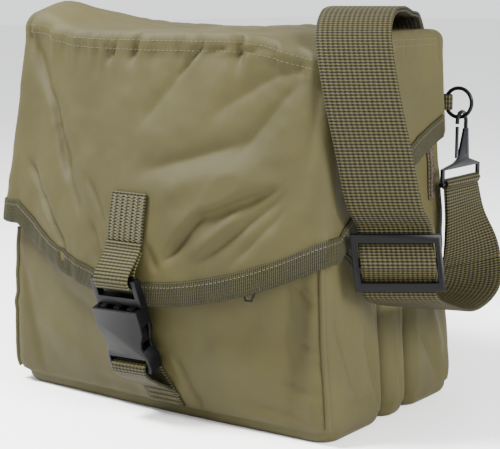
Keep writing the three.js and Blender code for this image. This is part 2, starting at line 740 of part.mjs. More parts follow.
// Places on a hook, whose flat lies in the plane of Y and Z through the ring's foot.
function hookFrame(side) {
  const centre = ringCentre(side);
  const seat = Math.sqrt(ringRadius ** 2 - (hookOut + hookWire / 2) ** 2);
  const eyeTop = centre.z - seat + ringWire / 2 + fit + hookWire / 2;
  return {
    x: centre.x + side * hookOut,
    y: centre.y,
    eye: eyeTop - hookRadius,
    bar: eyeTop - hookRadius - hookDrop + hookBar,
  };
}

function hookShape(side) {
  const at = hookFrame(side);
  const points = [];
  const leg = at.eye - 0.16 * hookDrop;
  const plateTop = at.eye - 0.12 * hookDrop;
  points.push(vector(at.x, at.y + hookRadius, plateTop - 0.4 * hookDrop));
  points.push(vector(at.x, at.y + hookRadius, leg));
  for (let i = 0; i <= 6; i += 1) {
    const angle = Math.PI * i / 6;
    points.push(vector(at.x, at.y + hookRadius * Math.cos(angle), at.eye + hookRadius * Math.sin(angle)));
  }
  points.push(vector(at.x, at.y - hookRadius, at.eye - 0.04 * hookDrop));
  const hook = wire(points, alongX, hookWire / 2, 8);
  const loopHalf = strapWidth / 2 + 1;
  const loopTop = at.bar + hookBar / 2 + 2 * strapWall + 5;
  const outerHalf = loopHalf + hookBar;
  const plate = [
    [-outerHalf, at.bar - hookBar / 2], [outerHalf, at.bar - hookBar / 2], [outerHalf, loopTop + 1],
    [hookRadius + 5, loopTop + hookBar + 2], [hookRadius + 3, plateTop], [hookRadius - 3, plateTop],
    [-hookRadius + 2.4, loopTop + hookBar + 3], [-hookRadius - 4.5, loopTop + hookBar], [-outerHalf, loopTop + 1],
  ].map(([y, z]) => [at.y + y, z]);
  const body = prism(plate, 'x', at.x - hookSheet / 2, at.x + hookSheet / 2);
  const opening = box([-far, at.y - loopHalf, at.bar - hookBar], [far, at.y + loopHalf, loopTop]);
  const barLine = [-outerHalf, outerHalf].map(y => vector(at.x, at.y + y, at.bar));
  const rail = wire(barLine, alongX, hookBar / 2, 10);
  return union([body.subtract(opening), rail, hook]);
}

// The spring gate: a flat lever that closes the hook's mouth from inside and turns on a pin at its foot.
function gatePivot(side) {
  const at = hookFrame(side);
  const loopTop = at.bar + hookBar / 2 + 2 * strapWall + 5;
  return vector(at.x, at.y - hookRadius, loopTop + hookBar + 5);
}

function gateShape(side) {
  const at = hookFrame(side);
  const pivot = gatePivot(side);
  const top = at.eye - 0.04 * hookDrop - hookWire / 2 - fit;
  const half = hookWire / 2;
  const outline = [
    [-half, pivot.z - half], [half, pivot.z - half], [half, top], [-half, top],
  ].map(([y, z]) => [at.y - hookRadius + y, z]);
  return prism(outline, 'x', at.x - gateSheet / 2, at.x + gateSheet / 2);
}

// Shoulder strap.
const strapStation = row => {
  const turn = radians(row.turn);
  return {
    point: vector(row.x * halfWidth, row.y * halfDepth, row.z * height),
    across: vector(Math.cos(turn), Math.sin(turn), row.rise).normalize(),
  };
};

// Stations along a smooth curve through the given ones.
function smooth(stations, perSpan) {
  const curve = new THREE.CatmullRomCurve3(stations.map(s => s.point), false, 'centripetal');
  const widths = new THREE.CatmullRomCurve3(stations.map(s => s.across), false, 'centripetal');
  const count = (stations.length - 1) * perSpan;
  return Array.from({ length: count + 1 }, (_, i) => ({
    point: curve.getPoint(i / count),
    across: widths.getPoint(i / count).normalize(),
  }));
}

// The slider's own frame: width along the strap's width, height along its run, face outward.
const sliderTurn = radians(36);
const sliderAcross = vector(Math.cos(sliderTurn), Math.sin(sliderTurn), 0);
const sliderUp = vector(-0.06, -0.12, 1).normalize();
const sliderFace = sliderUp.clone().cross(sliderAcross).negate().normalize();
const sliderMiddle = vector(1.245 * halfWidth, -0.6 * halfDepth, 0.485 * height);
const inSlider = (n, s) => sliderMiddle.clone().addScaledVector(sliderFace, n).addScaledVector(sliderUp, s);
const sliderPlace = new THREE.Matrix4().makeBasis(sliderAcross, sliderUp, sliderFace.clone()
  .multiplyScalar(Math.sign(sliderAcross.clone().cross(sliderUp).dot(sliderFace)))).setPosition(sliderMiddle);

function strapSlider() {
  const halfHeight = sliderHeight / 2;
  const inner = strapWidth / 2 + 1;
  const outer = inner + sliderSide;
  const frame = box([-outer, -halfHeight, -sliderWall / 2], [outer, halfHeight, sliderWall / 2]);
  const opening = box([-inner, -halfHeight + sliderRail, -far], [inner, halfHeight - sliderRail, far]);
  const bar = box([-outer + 1, -sliderCentreBar / 2, -sliderCentreWall / 2],
    [outer - 1, sliderCentreBar / 2, sliderCentreWall / 2]);
  return frame.subtract(opening).add(bar).transform(sliderPlace.toArray());
}

// One webbing: sewn round the right hook's bar, down and forward to the slider, over its centre bar, up over
// the bag to the left hook, round that bar and back beside itself to the slider, where its end is sewn.
function shoulderStrap() {
  const layer = strapWall + strapLayerGap;
  const behind = sliderWall / 2 + fit + strapWall * 0.72;
  const over = sliderCentreWall / 2 + fit + strapWall + strapWall / 2;
  const slotEdge = sliderHeight / 2 - sliderRail;
  const across = sliderAcross;
  const wrap = side => {
    const at = hookFrame(side);
    const round = hookBar / 2 + fit;
    const tube = (radius, half) => wire([-half, half].map(y => vector(at.x, at.y + y, at.bar)), alongX, radius, 12);
    const half = strapWidth / 2;
    return tube(round + strapWall, half).subtract(tube(round, half + 1));
  };
  const start = side => {
    const at = hookFrame(side);
    return { point: vector(at.x, at.y, at.bar - hookBar / 2 - fit - strapWall * 0.8), across: vector(0, 1, 0) };
  };
  const single = smooth([
    start(1),
    ...shortRun.map(strapStation),
    { point: inSlider(-behind - 5 * fit, -sliderHeight / 2 - 5), across },
    { point: inSlider(-behind, -slotEdge), across },
  ], 3);
  const throughSlider = [
    { point: inSlider(-behind, -slotEdge - 1), across },
    { point: inSlider(-behind + 0.6, -slotEdge + 1), across },
    { point: inSlider(over, -sliderCentreBar / 2), across },
    { point: inSlider(over, sliderCentreBar / 2), across },
    { point: inSlider(-behind + 0.6, slotEdge - 1), across },
    { point: inSlider(-behind, slotEdge + 1), across },
  ];
  const doubled = smooth([
    { point: inSlider(-behind, slotEdge), across },
    { point: inSlider(-behind, sliderHeight / 2 + 4), across },
    ...longRun.map(strapStation),
    start(-1),
  ], 2);
  const sewnEnd = [
    { point: inSlider(-behind, sliderHeight / 2 + 6), across },
    { point: inSlider(-behind - layer, slotEdge), across },
    { point: inSlider(-sliderCentreWall / 2 - fit - strapWall / 2, sliderCentreBar / 2 + 1), across },
    { point: inSlider(-sliderCentreWall / 2 - fit - strapWall / 2, -sliderCentreBar / 2), across },
  ];
  const cuff = radius => {
    const half = strapWidth / 2;
    const reachUp = sliderCentreBar / 2 + fit + radius;
    const reachOut = sliderCentreWall / 2 + fit + radius;
    return box([-half - (radius ? 0 : 1), -reachUp, -reachOut], [half + (radius ? 0 : 1), reachUp, reachOut])
      .transform(sliderPlace.toArray());
  };
  return union([
    ribbon(single, strapWidth, strapWall),
    ribbon(single.slice(0, 7), strapWidth, strapWall, layer - fit),
    ribbon(throughSlider, strapWidth, strapWall),
    ribbon(doubled, strapWidth, strapWall),
    ribbon(doubled.slice(2), strapWidth, strapWall, layer),
    ribbon(sewnEnd, strapWidth, strapWall),
    cuff(strapWall).subtract(cuff(0)),
    wrap(1),
    wrap(-1),
  ]);
}

// Finishes
const finish = (color, roughness, metalness) => new THREE.MeshStandardMaterial({ color, roughness, metalness });
const nylon = finish(0x7b7350, 0.62, 0);
const binding = finish(0x6f6c4c, 0.8, 0);
const webbing = finish(0x66633f, 0.82, 0);
const coil = finish(0x5d4a36, 0.6, 0);
const plastic = finish(0x17171a, 0.42, 0);
const metal = finish(0x2a2a2e, 0.38, 0.8);

const bag = new THREE.Group();

function add(name, shape, material) {
  const mesh = new THREE.Mesh(geometryOf(shape), material);
  mesh.name = name;
  bag.add(mesh);
}

add('front_compartment', frontShell, nylon);
add('middle_compartment', middle, nylon);
add('rear_compartment', rearShell, nylon);
add('front_zipper', frontZip, coil);
add('rear_zipper', rearZip, coil);
add('flap', flapShape, nylon);
add('flap_binding', bindingShape, binding);
add('front_piping_right', piping(1), nylon);
add('front_piping_left', piping(-1), nylon);
add('closure_patch', closurePatch(), webbing);
add('closure_loop', closureLoop(), webbing);
add('closure_tail', closureTail(), webbing);
add('buckle_male', buckleMale(), plastic);
add('buckle_female', buckleFemale(), plastic);
add('strap_slider', strapSlider(), plastic);
add('shoulder_strap', shoulderStrap(), webbing);
for (const [side, hand] of [[1, 'right'], [-1, 'left']]) {
  add(`ring_${hand}`, ringShape(side), metal);
  add(`ring_tab_${hand}`, ringTab(side), webbing);
  add(`hook_${hand}`, hookShape(side), metal);
  add(`hook_gate_${hand}`, gateShape(side), metal);
}

const frontPullX = 0.62 * halfWidth;
const frontFace = bagFace(frontPullX, frontZipHeight) - 3 * fit;
const frontSlope = vector(
  bagFace(frontPullX + 1, frontZipHeight) - bagFace(frontPullX, frontZipHeight), -1,
  (bagFace(frontPullX, frontZipHeight) - bagFace(frontPullX, frontZipHeight - pullLength)) / pullLength);
const leftFace = reach(frontZipHeight).left - 2 * fit;
const down = vector(0, 0, -1);
for (const [name, place, out, drop] of [
  ['front_zip', vector(frontPullX, frontFace, frontZipHeight), frontSlope, down],
  ['side_zip', vector(leftFace, wingStart, frontZipHeight), vector(-1, 0, 0), down],
  ['rear_zip', vector(0, rearZipY, height + fit), vector(0, 0, 1), vector(1, 0, 0)],
]) {
  const piece = zipSlider(place, out, drop);
  add(`${name}_slider`, piece.slider, metal);
  add(`${name}_pull`, piece.pull, metal);
}

export default bag;
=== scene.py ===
import bmesh
import bpy
import numpy as np
from mathutils import Matrix, Vector


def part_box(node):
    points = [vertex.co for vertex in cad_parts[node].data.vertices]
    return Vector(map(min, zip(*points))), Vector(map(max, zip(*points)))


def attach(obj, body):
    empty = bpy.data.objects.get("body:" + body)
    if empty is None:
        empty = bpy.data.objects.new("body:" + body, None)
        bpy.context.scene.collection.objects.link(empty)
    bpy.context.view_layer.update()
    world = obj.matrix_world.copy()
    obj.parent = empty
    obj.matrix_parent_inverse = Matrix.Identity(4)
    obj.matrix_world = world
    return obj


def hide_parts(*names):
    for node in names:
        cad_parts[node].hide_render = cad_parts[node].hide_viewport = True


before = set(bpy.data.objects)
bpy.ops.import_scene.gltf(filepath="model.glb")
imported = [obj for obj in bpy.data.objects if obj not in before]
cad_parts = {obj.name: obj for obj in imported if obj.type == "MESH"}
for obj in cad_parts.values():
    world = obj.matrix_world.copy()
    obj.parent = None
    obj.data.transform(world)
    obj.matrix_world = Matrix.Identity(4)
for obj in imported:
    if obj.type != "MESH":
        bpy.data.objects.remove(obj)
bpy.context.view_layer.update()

MM = 0.001

# Sizes of the bag. Most are the part's source's own; the foot is lower, the flap's top room higher and the
# sections a little fuller than there, to follow the photograph.
WIDTH, DEPTH, HEIGHT = 286 * MM, 176 * MM, 262 * MM
HALF_WIDTH, HALF_DEPTH = WIDTH / 2, DEPTH / 2
FRONT_BULGE = 28 * MM
FRONT_SEAM = -12 * MM
REAR_SEAM = 22 * MM
CORNER_RADIUS = 13 * MM
SHOULDER_RADIUS = 16 * MM
FOOT_HEIGHT = 8 * MM
SEAM_GAP = 0.6 * MM
FIT = 0.3 * MM
FLAP_WALL = 2 * MM
FLAP_ROOM = {"left": 8.5 * MM, "right": 4.5 * MM, "front": 8.5 * MM, "top": 16 * MM}
EDGE_MIDDLE, EDGE_CORNER, EDGE_REAR = 90 * MM, 131 * MM, 207 * MM
WING_START = -0.86 * HALF_DEPTH
BINDING_WIDTH = 16 * MM
BINDING_WALL = 1.3 * MM

# The bag's sections from the floor up, as shares: height, reach left, right, front and rear, and forward swell.
SECTIONS = np.array([
    (0.00, 0.975, 1.020, 0.98, 1.02, 0.12),
    (0.05, 1.015, 1.035, 1.01, 1.04, 0.28),
    (0.14, 1.025, 1.030, 1.02, 1.04, 0.52),
    (0.30, 1.020, 1.005, 1.02, 1.02, 0.84),
    (0.46, 1.010, 0.990, 1.01, 1.00, 1.00),
    (0.62, 0.990, 0.970, 0.96, 0.985, 0.96),
    (0.80, 0.965, 0.950, 0.88, 0.97, 0.82),
    (1.00, 0.945, 0.935, 0.80, 0.95, 0.66),
])
FRONT_LEFT_FILL = 6 * MM

# Lumps of the flap's top: x and y as shares of half the width and depth, spread of the width, rise of the height.
TOP_LUMPS = [
    (-0.86, -0.62, 0.11, 0.070),
    (-0.66, -0.10, 0.12, 0.026),
    (0.45, -0.30, 0.16, 0.012),
    (0.92, -0.86, 0.13, -0.042),
    (0.10, 0.95, 0.30, -0.008),
]

# Folds of the flap's front in millimetres: both ends across and up, half breadth, rise (a valley is below 0), and
# how much steeper one side is.
FLAP_FOLDS = [
    (-134, 262, -98, 222, 9, -4.5, 0.4),
    (-100, 224, -76, 176, 8, -5.0, 0.5),
    (-84, 190, -54, 150, 8, -3.0, 0.4),
    (-112, 240, -70, 200, 14, 2.5, 0.0),
    (-124, 176, -96, 146, 6, -4.2, 0.4),
    (-98, 150, -68, 118, 5, -4.0, 0.5),
    (-110, 176, -78, 128, 9, 2.0, 0.0),
    (-46, 172, -18, 138, 4, -2.4, 0.4),
    (-38, 142, -22, 116, 4, -2.2, 0.3),
    (34, 126, 58, 156, 6, -4.6, -0.5),
    (56, 154, 104, 174, 8, -4.6, -0.5),
    (42, 142, 88, 182, 10, 3.2, 0.0),
    (56, 130, 86, 158, 5, 2.4, 0.0),
    (62, 128, 110, 168, 6, -2.6, -0.3),
    (84, 126, 112, 158, 5, -2.0, 0.0),
    (12, 184, 78, 204, 12, -3.4, -0.2),
    (20, 170, 90, 190, 12, 2.6, 0.0),
    (18, 132, 26, 116, 3, -2.6, 0.0),
    (44, 270, 28, 250, 4, -3.0, -0.4),
    (30, 252, 0, 216, 10, -2.2, 0.0),
    (120, 268, 60, 226, 10, -2.2, 0.0),
    (100, 276, 66, 264, 5, -2.2, 0.3),
    (84, 276, 48, 266, 4, -1.8, 0.3),
    (116, 250, 80, 200, 9, -2.0, 0.2),
    (-48, 278, -40, 258, 3, -1.8, 0.0),
    (-28, 280, -38, 260, 4, -2.6, 0.3),
    (-6, 280, -18, 258, 4, -1.8, 0.0),
    (134, 260, 128, 180, 9, -2.4, 0.0),
]

# Folds of the front compartment's face below the flap, in the same way.
FACE_FOLDS = [
    (-140, 96, -118, 20, 8, -2.4, 0.3),
    (-120, 60, -60, 24, 12, 2.0, 0.0),
    (-100, 90, -40, 70, 14, -1.4, 0.0),
    (28, 46, 44, 10, 4, -3.6, 0.4),
    (14, 40, 30, 8, 5, 1.8, 0.0),
    (60, 100, 128, 60, 16, -2.2, 0.2),
    (50, 60, 126, 30, 14, 2.2, 0.0),
    (120, 110, 134, 96, 4, -2.6, 0.2),
    (112, 74, 136, 66, 4, -2.0, 0.2),
    (108, 40, 136, 36, 4, -2.2, 0.2),
    (80, 24, 130, 16, 5, -2.0, 0.2),
    (-60, 20, 10, 14, 6, -1.2, 0.0),
    (114, 112, 117, 20, 12, -4.4, 0.2),
    (133, 112, 134, 24, 6, 2.4, 0.0),
]

# Folds of the right and left sides in millimetres: both ends along and up, half breadth, rise and lean.
SIDE_FOLDS = [
    (-76, 92, -56, 30, 6, -2.6, 0.3),
    (-62, 128, -40, 70, 6, 2.0, 0.0),
    (-44, 84, -26, 20, 5, -2.6, 0.3),
    (-66, 30, -30, 18, 5, -2.2, 0.0),
    (-30, 120, -20, 60, 4, -2.0, 0.0),
    (32, 140, 52, 80, 6, -2.4, 0.2),
    (50, 90, 70, 30, 6, 2.2, 0.0),
    (36, 60, 62, 22, 5, -2.4, 0.2),
    (66, 150, 78, 70, 5, -2.0, 0.0),
    (-8, 100, 4, 30, 4, -1.6, 0.0),
    (4, 130, 14, 60, 4, 1.4, 0.0),
]


def lerp(a, b, t):
    return a + (b - a) * t


def section(column, z):
    """Value of one column of SECTIONS at height z, on a smooth cubic through the rows (Hermite with the slopes of
    the neighbouring rows)."""
    up, value = SECTIONS[:, 0], SECTIONS[:, column]
    slope = np.gradient(value, up)
    t = np.clip(np.asarray(z) / HEIGHT, 0, 1)
    i = np.clip(np.searchsorted(up, t, side="right") - 1, 0, len(up) - 2)
    span = up[i + 1] - up[i]
    s = (t - up[i]) / span
    return ((2 * s**3 - 3 * s**2 + 1) * value[i] + (s**3 - 2 * s**2 + s) * slope[i] * span
            + (3 * s**2 - 2 * s**3) * value[i + 1] + (s**3 - s**2) * slope[i + 1] * span)


# Places of sewn webbing on the front, across and up: the tail's foot and the patch on the flap.
SEWN_FOOT = (11 * MM, 16 * MM)
SEWN_PATCH = (0 * MM, 150 * MM)

LATTICE = np.random.default_rng(7).random((32, 32, 32))


def drift(x, y, z, size):
    """Smooth noise from -1 to 1: random values on a lattice of that size, blended along each axis by a smoothstep."""
    cells = [np.asarray(v) / size + 100 for v in (x, y, z)]
    whole = [np.floor(c).astype(int) for c in cells]
    part = [c - w for c, w in zip(cells, whole)]
    ease = [p * p * (3 - 2 * p) for p in part]
    total = 0
    for a in (0, 1):
        for b in (0, 1):
            for c in (0, 1):
                weight = ((ease[0] if a else 1 - ease[0]) * (ease[1] if b else 1 - ease[1])
                          * (ease[2] if c else 1 - ease[2]))
                total = total + weight * LATTICE[(whole[0] + a) % 32, (whole[1] + b) % 32, (whole[2] + c) % 32]
    return 2 * total - 1


def fold_field(u, v, folds):
    """Sum of the folds at (u, v): a ridge is a Gaussian across its line and a valley a sharper bell, both steeper on
    one side and fading at their ends."""
    total = np.zeros(np.broadcast(u, v).shape)
    for u1, v1, u2, v2, breadth, rise, lean in folds:
        a, b = np.array([u1, v1]) * MM, np.array([u2, v2]) * MM
        line = b - a
        length = np.hypot(*line)
        along = ((u - a[0]) * line[0] + (v - a[1]) * line[1]) / length**2
        away = ((u - a[0]) * -line[1] + (v - a[1]) * line[0]) / length
        side = breadth * MM * (1 + lean * np.sign(away))
        ends = np.clip((along + 0.25) / 0.5, 0, 1) * np.clip((1.25 - along) / 0.5, 0, 1)
        core = np.exp(-np.abs(away / side) ** 1.3 * 1.6) if rise < 0 else np.exp(-(away / side) ** 2)
        total += rise * MM * core * ends * ends * (3 - 2 * ends)
    return total


def stations(corner, side, front, rear=None):
    """Places round a soft rectangle, from the front right corner anticlockwise seen from above: share across and
    along between the corners' centres, and the unit normal. Corner arcs step evenly by angle, straights by length."""
    px, py, nx, ny = [], [], [], []
    corners = [(1, -1, -90), (1, 1, 0), (-1, 1, 90), (-1, -1, 180)]
    counts = [side, rear or front, side, front]
    for k, (cx, cy, start) in enumerate(corners):
        angle = np.radians(start + 90 * np.arange(corner + 1) / corner)
        px += [cx] * (corner + 1)
        py += [cy] * (corner + 1)
        nx += list(np.cos(angle))
        ny += list(np.sin(angle))
        to = corners[(k + 1) % 4]
        share = np.arange(1, counts[k]) / counts[k]
        px += list(lerp(cx, to[0], share))
        py += list(lerp(cy, to[1], share))
        nx += [np.cos(angle[-1])] * len(share)
        ny += [np.sin(angle[-1])] * len(share)
    return [np.array(v) for v in (px, py, nx, ny)]


def soft_ring(ring, left, right, front, rear, swell, radius):
    """Points of the soft rectangle at stations: corner centre plus radius times the normal, the front swollen
    forward by swell (1 - u^2)^2 times the cube of the share of the way to the front, and its left corner filled out
    by the squares of both shares."""
    px, py, nx, ny = ring
    x = lerp(left + radius, right - radius, (px + 1) / 2) + radius * nx
    y = lerp(front + radius, rear - radius, (py + 1) / 2) + radius * ny
    u = (x - (left + right) / 2) / ((right - left) / 2)
    weight = np.clip((rear - y) / (rear - front), 0, 1)
    return x - FRONT_LEFT_FILL * np.clip(-u, 0, 1) ** 2 * weight**2, y - swell * (1 - u * u) ** 2 * weight**3


def grid_normals(points, wrap):
    """Unit normal at each grid point: the cross product of the differences along columns and rows."""
    if wrap:
        across = np.roll(points, -1, 1) - np.roll(points, 1, 1)
    else:
        across = np.gradient(points, axis=1)
    up = np.gradient(points, axis=0)
    normal = np.cross(across, up)
    return normal / np.maximum(np.linalg.norm(normal, axis=2, keepdims=True), 1e-12)


def on_grid(points, rows, columns):
    """Points at fractional rows and columns of a grid, blended from the four around; columns wrap round."""
    many = points.shape[1]
    r0 = np.clip(np.floor(rows).astype(int), 0, points.shape[0] - 2)
    c0 = np.floor(columns).astype(int)
    fr, fc = (rows - r0)[..., None], (columns - c0)[..., None]
    a, b = points[r0, c0 % many], points[r0, (c0 + 1) % many]
    c, d = points[r0 + 1, c0 % many], points[r0 + 1, (c0 + 1) % many]
    return lerp(lerp(a, b, fc), lerp(c, d, fc), fr)


def mesh_object(name, verts, faces, uvs=None, smooth=True):
    """A mesh object at the origin from an array of points and one of quads or triangles."""
    mesh = bpy.data.meshes.new(name)
    mesh.from_pydata(verts, [], faces)
    if uvs is not None:
        layer = mesh.uv_layers.new(name="cloth")
        corner = np.empty(len(mesh.loops), int)
        mesh.loops.foreach_get("vertex_index", corner)
        layer.data.foreach_set("uv", uvs[corner].ravel())
    mesh.polygons.foreach_set("use_smooth", [smooth] * len(mesh.polygons))
    mesh.update()
    obj = bpy.data.objects.new(name, mesh)
    bpy.context.scene.collection.objects.link(obj)
    return obj


def quads(rows, columns, wrap_rows=False, wrap_columns=False):
    """Index quads of a grid, optionally joined round."""
    r = np.arange(rows if wrap_rows else rows - 1)[:, None]
    c = np.arange(columns if wrap_columns else columns - 1)[None, :]
    r2, c2 = (r + 1) % rows, (c + 1) % columns
    return np.stack(np.broadcast_arrays(r * columns + c, r * columns + c2, r2 * columns + c2, r2 * columns + c),
                    -1).reshape(-1, 4)


def tidy(obj, outward=True, merge=2e-6):
    """Merges doubled points, drops faces of no area and, on a closed piece, turns the faces outwards."""
    work = bmesh.new()
    work.from_mesh(obj.data)
    bmesh.ops.remove_doubles(work, verts=work.verts, dist=merge)
    bmesh.ops.dissolve_degenerate(work, edges=work.edges, dist=merge)
    if outward:
        bmesh.ops.recalc_face_normals(work, faces=work.faces)
    work.to_mesh(obj.data)
    work.free()
    return obj


def grid_object(name, points, uv=None, wrap=False):
    rows, columns = points.shape[:2]
    uvs = None if uv is None else uv.reshape(-1, 2)
    return mesh_object(name, points.reshape(-1, 3), quads(rows, columns, wrap_columns=wrap).tolist(), uvs)


def dress(obj, material, slot, *replaces, body="bag"):
    obj.data.materials.clear()
    obj.data.materials.append(material)
    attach(obj, body)
    if replaces:
        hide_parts(*replaces)
    return obj


# Camera: at the photograph's angle, on the line of sight that the bag's corners give.
AZIMUTH, PITCH = np.radians(36.0), np.radians(9.6)
EYE = Vector((642 * MM, -861 * MM, 310 * MM))
FOCAL_PIXELS, IMAGE_WIDTH, SENSOR = 1400, 500, 36
camera_data = bpy.data.cameras.new("camera")
camera_data.sensor_width = SENSOR
camera_data.lens = SENSOR * FOCAL_PIXELS / IMAGE_WIDTH
camera = bpy.data.objects.new("camera", camera_data)
bpy.context.scene.collection.objects.link(camera)
look = Vector((-np.sin(AZIMUTH) * np.cos(PITCH), np.cos(AZIMUTH) * np.cos(PITCH), -np.sin(PITCH)))
camera.matrix_world = Matrix.Translation(EYE) @ look.to_track_quat("-Z", "Y").to_matrix().to_4x4()
bpy.context.scene.camera = camera


# Materials
def colour(code):
    """Linear colour from an sRGB hex value."""
    parts = np.array([code >> 16 & 255, code >> 8 & 255, code & 255]) / 255
    return (*np.where(parts <= 0.04045, parts / 12.92, ((parts + 0.055) / 1.055) ** 2.4), 1.0)


def add_node(tree, kind, links=None, **settings):
    """Adds a node with its settings; links maps an input's name or number to an output socket or a value."""
    node = tree.nodes.new(kind)
    for key, value in settings.items():
        setattr(node, key, value)
    for key, value in (links or {}).items():
        if isinstance(value, bpy.types.NodeSocket):
            tree.links.new(value, node.inputs[key])
        else:
            node.inputs[key].default_value = value
    return node


def new_material(name, base, roughness, **sockets):
    material = bpy.data.materials.new(name)
    material.use_nodes = True
    tree = material.node_tree
    shader = tree.nodes["Principled BSDF"]
    shader.inputs["Base Color"].default_value = colour(base)
    shader.inputs["Roughness"].default_value = roughness
    for key, value in sockets.items():
        shader.inputs[key.replace("_", " ")].default_value = value
    return material, tree, shader


THREAD_PITCH = 1.5 * MM


def packcloth(name, dark, light):
    """Coated nylon packcloth: a plain weave of fine shiny yarn. Its threads are 0.5 mm apart in life and drawn
    1.5 mm apart so that they show; broad patches of tone follow the wear of a soft bag."""
    material, tree, shader = new_material(name, light, 0.68, Specular_IOR_Level=0.2)
    place = add_node(tree, "ShaderNodeTexCoord").outputs["Object"]
    threads = []
    for run in ((1.0, 1.0, 1.0), (-1.0, -0.3, 1.0)):
        along = add_node(tree, "ShaderNodeVectorMath", {0: place, 1: run}, operation="DOT_PRODUCT")
        turns = add_node(tree, "ShaderNodeMath", {0: along.outputs["Value"], 1: 2 * np.pi / THREAD_PITCH},
                         operation="MULTIPLY")
        threads.append(add_node(tree, "ShaderNodeMath", {0: turns.outputs[0]}, operation="SINE").outputs[0])
    product = add_node(tree, "ShaderNodeMath", {0: threads[0], 1: threads[1]}, operation="MULTIPLY")
    weave = add_node(tree, "ShaderNodeMath", {0: product.outputs[0], 1: 0.5, 2: 0.5}, operation="MULTIPLY_ADD")
    patches = add_node(tree, "ShaderNodeTexNoise", {"Vector": place, "Scale": 14.0, "Detail": 3.0, "Roughness": 0.5})
    fine = add_node(tree, "ShaderNodeTexNoise", {"Vector": place, "Scale": 900.0, "Detail": 1.0})
    tone = add_node(tree, "ShaderNodeMix", {"Factor": patches.outputs["Fac"], 6: colour(dark), 7: colour(light)},
                    data_type="RGBA")
    shade = add_node(tree, "ShaderNodeMapRange", {"Value": weave.outputs[0], "To Min": 0.66, "To Max": 1.22})
    mixed = add_node(tree, "ShaderNodeVectorMath", {0: tone.outputs[2], 1: shade.outputs[0]}, operation="MULTIPLY")
    tree.links.new(mixed.outputs[0], shader.inputs["Base Color"])
    height = add_node(tree, "ShaderNodeMath", {0: fine.outputs["Fac"], 1: weave.outputs[0]}, operation="ADD")
    bump = add_node(tree, "ShaderNodeBump", {"Strength": 0.3, "Distance": 0.3 * MM, "Height": height.outputs[0]})
    tree.links.new(bump.outputs[0], shader.inputs["Normal"])
    return material


def ribbed(name, dark, light, pitch, cross=0.0):
    """Woven nylon webbing: ribs across its width, one for each weft, in bundles of stiff yarn that catch the light on
    their crowns. The colour paints that light: a painted highlight on the crowns and painted shade in the grooves,
    with a random grain. The pattern follows the piece's own UV map, in metres: across, then along."""
    material, tree, shader = new_material(name, light, 0.66, Specular_IOR_Level=0.12)
    uv = add_node(tree, "ShaderNodeTexCoord").outputs["UV"]
    parts = add_node(tree, "ShaderNodeSeparateXYZ", {0: uv})
    rows = add_node(tree, "ShaderNodeMath", {0: parts.outputs[1], 1: 2 * np.pi / pitch}, operation="MULTIPLY")
    rib = add_node(tree, "ShaderNodeMath", {0: rows.outputs[0]}, operation="SINE")
    ends = add_node(tree, "ShaderNodeMath", {0: parts.outputs[0], 1: 2 * np.pi / (1.5 * pitch)}, operation="MULTIPLY")
    end = add_node(tree, "ShaderNodeMath", {0: ends.outputs[0]}, operation="SINE")
    woven = add_node(tree, "ShaderNodeMath", {0: end.outputs[0], 1: 0.25 + cross, 2: rib.outputs[0]},
                     operation="MULTIPLY_ADD")
    grain = add_node(tree, "ShaderNodeTexNoise", {"Vector": uv, "Scale": 700.0, "Detail": 2.0, "Roughness": 0.7})
    rough = add_node(tree, "ShaderNodeMath", {0: grain.outputs["Fac"], 1: 1.6, 2: woven.outputs[0]},
                     operation="MULTIPLY_ADD")
    tone = add_node(tree, "ShaderNodeMapRange", {"Value": rough.outputs[0], "From Min": 0.1, "From Max": 1.8})
    # Colour from dark to light by rib height: painted shade in the grooves, painted highlight on the crowns, plus
    # random grain.
    mixed = add_node(tree, "ShaderNodeMix", {"Factor": tone.outputs[0], 6: colour(dark), 7: colour(light)},
                     data_type="RGBA")
    tree.links.new(mixed.outputs[2], shader.inputs["Base Color"])
    bump = add_node(tree, "ShaderNodeBump", {"Strength": 0.6, "Distance": 0.35 * MM, "Height": rough.outputs[0]})
    tree.links.new(bump.outputs[0], shader.inputs["Normal"])
    return material


def moulded(name, base, roughness, grain):
    """Moulded acetal buckle plastic: smooth, soft sheen, with the faint pitting of a spark-eroded mould."""
    material, tree, shader = new_material(name, base, roughness, Specular_IOR_Level=0.1)
    place = add_node(tree, "ShaderNodeTexCoord").outputs["Object"]
    pits = add_node(tree, "ShaderNodeTexNoise", {"Vector": place, "Scale": 1400.0, "Detail": 2.0})
    wear = add_node(tree, "ShaderNodeTexNoise", {"Vector": place, "Scale": 60.0, "Detail": 3.0})
    span = add_node(tree, "ShaderNodeMapRange", {"Value": wear.outputs["Fac"], "To Min": roughness - 0.08,
                                                 "To Max": roughness + 0.12})
    tree.links.new(span.outputs[0], shader.inputs["Roughness"])
    bump = add_node(tree, "ShaderNodeBump", {"Strength": grain, "Distance": 0.1 * MM, "Height": pits.outputs["Fac"]})
    tree.links.new(bump.outputs[0], shader.inputs["Normal"])
    return material


nylon = packcloth("coated_nylon_packcloth", 0x29250f, 0x3a3518)
tape = ribbed("woven_binding_tape", 0x080703, 0x302e19, 1.5 * MM)
webbing = ribbed("nylon_webbing", 0x050402, 0x38341c, 2.2 * MM, cross=0.35)
light_webbing = ribbed("nylon_webbing_light", 0x0e0d06, 0x403c22, 2.4 * MM)
thread = new_material("polyester_thread", 0x413d25, 0.7)[0]
# The coil is browner than the cloth, as in the photograph.
coil = new_material("nylon_zip_coil", 0x33241a, 0.42)[0]
zip_tape = ribbed("woven_zip_tape", 0x14110a, 0x352f1c, 1.2 * MM)
plastic = moulded("moulded_acetal", 0x050506, 0.34, 0.12)
metal = moulded("black_coated_steel", 0x1d1e21, 0.3, 0.1)
metal.node_tree.nodes["Principled BSDF"].inputs["Metallic"].default_value = 0.85


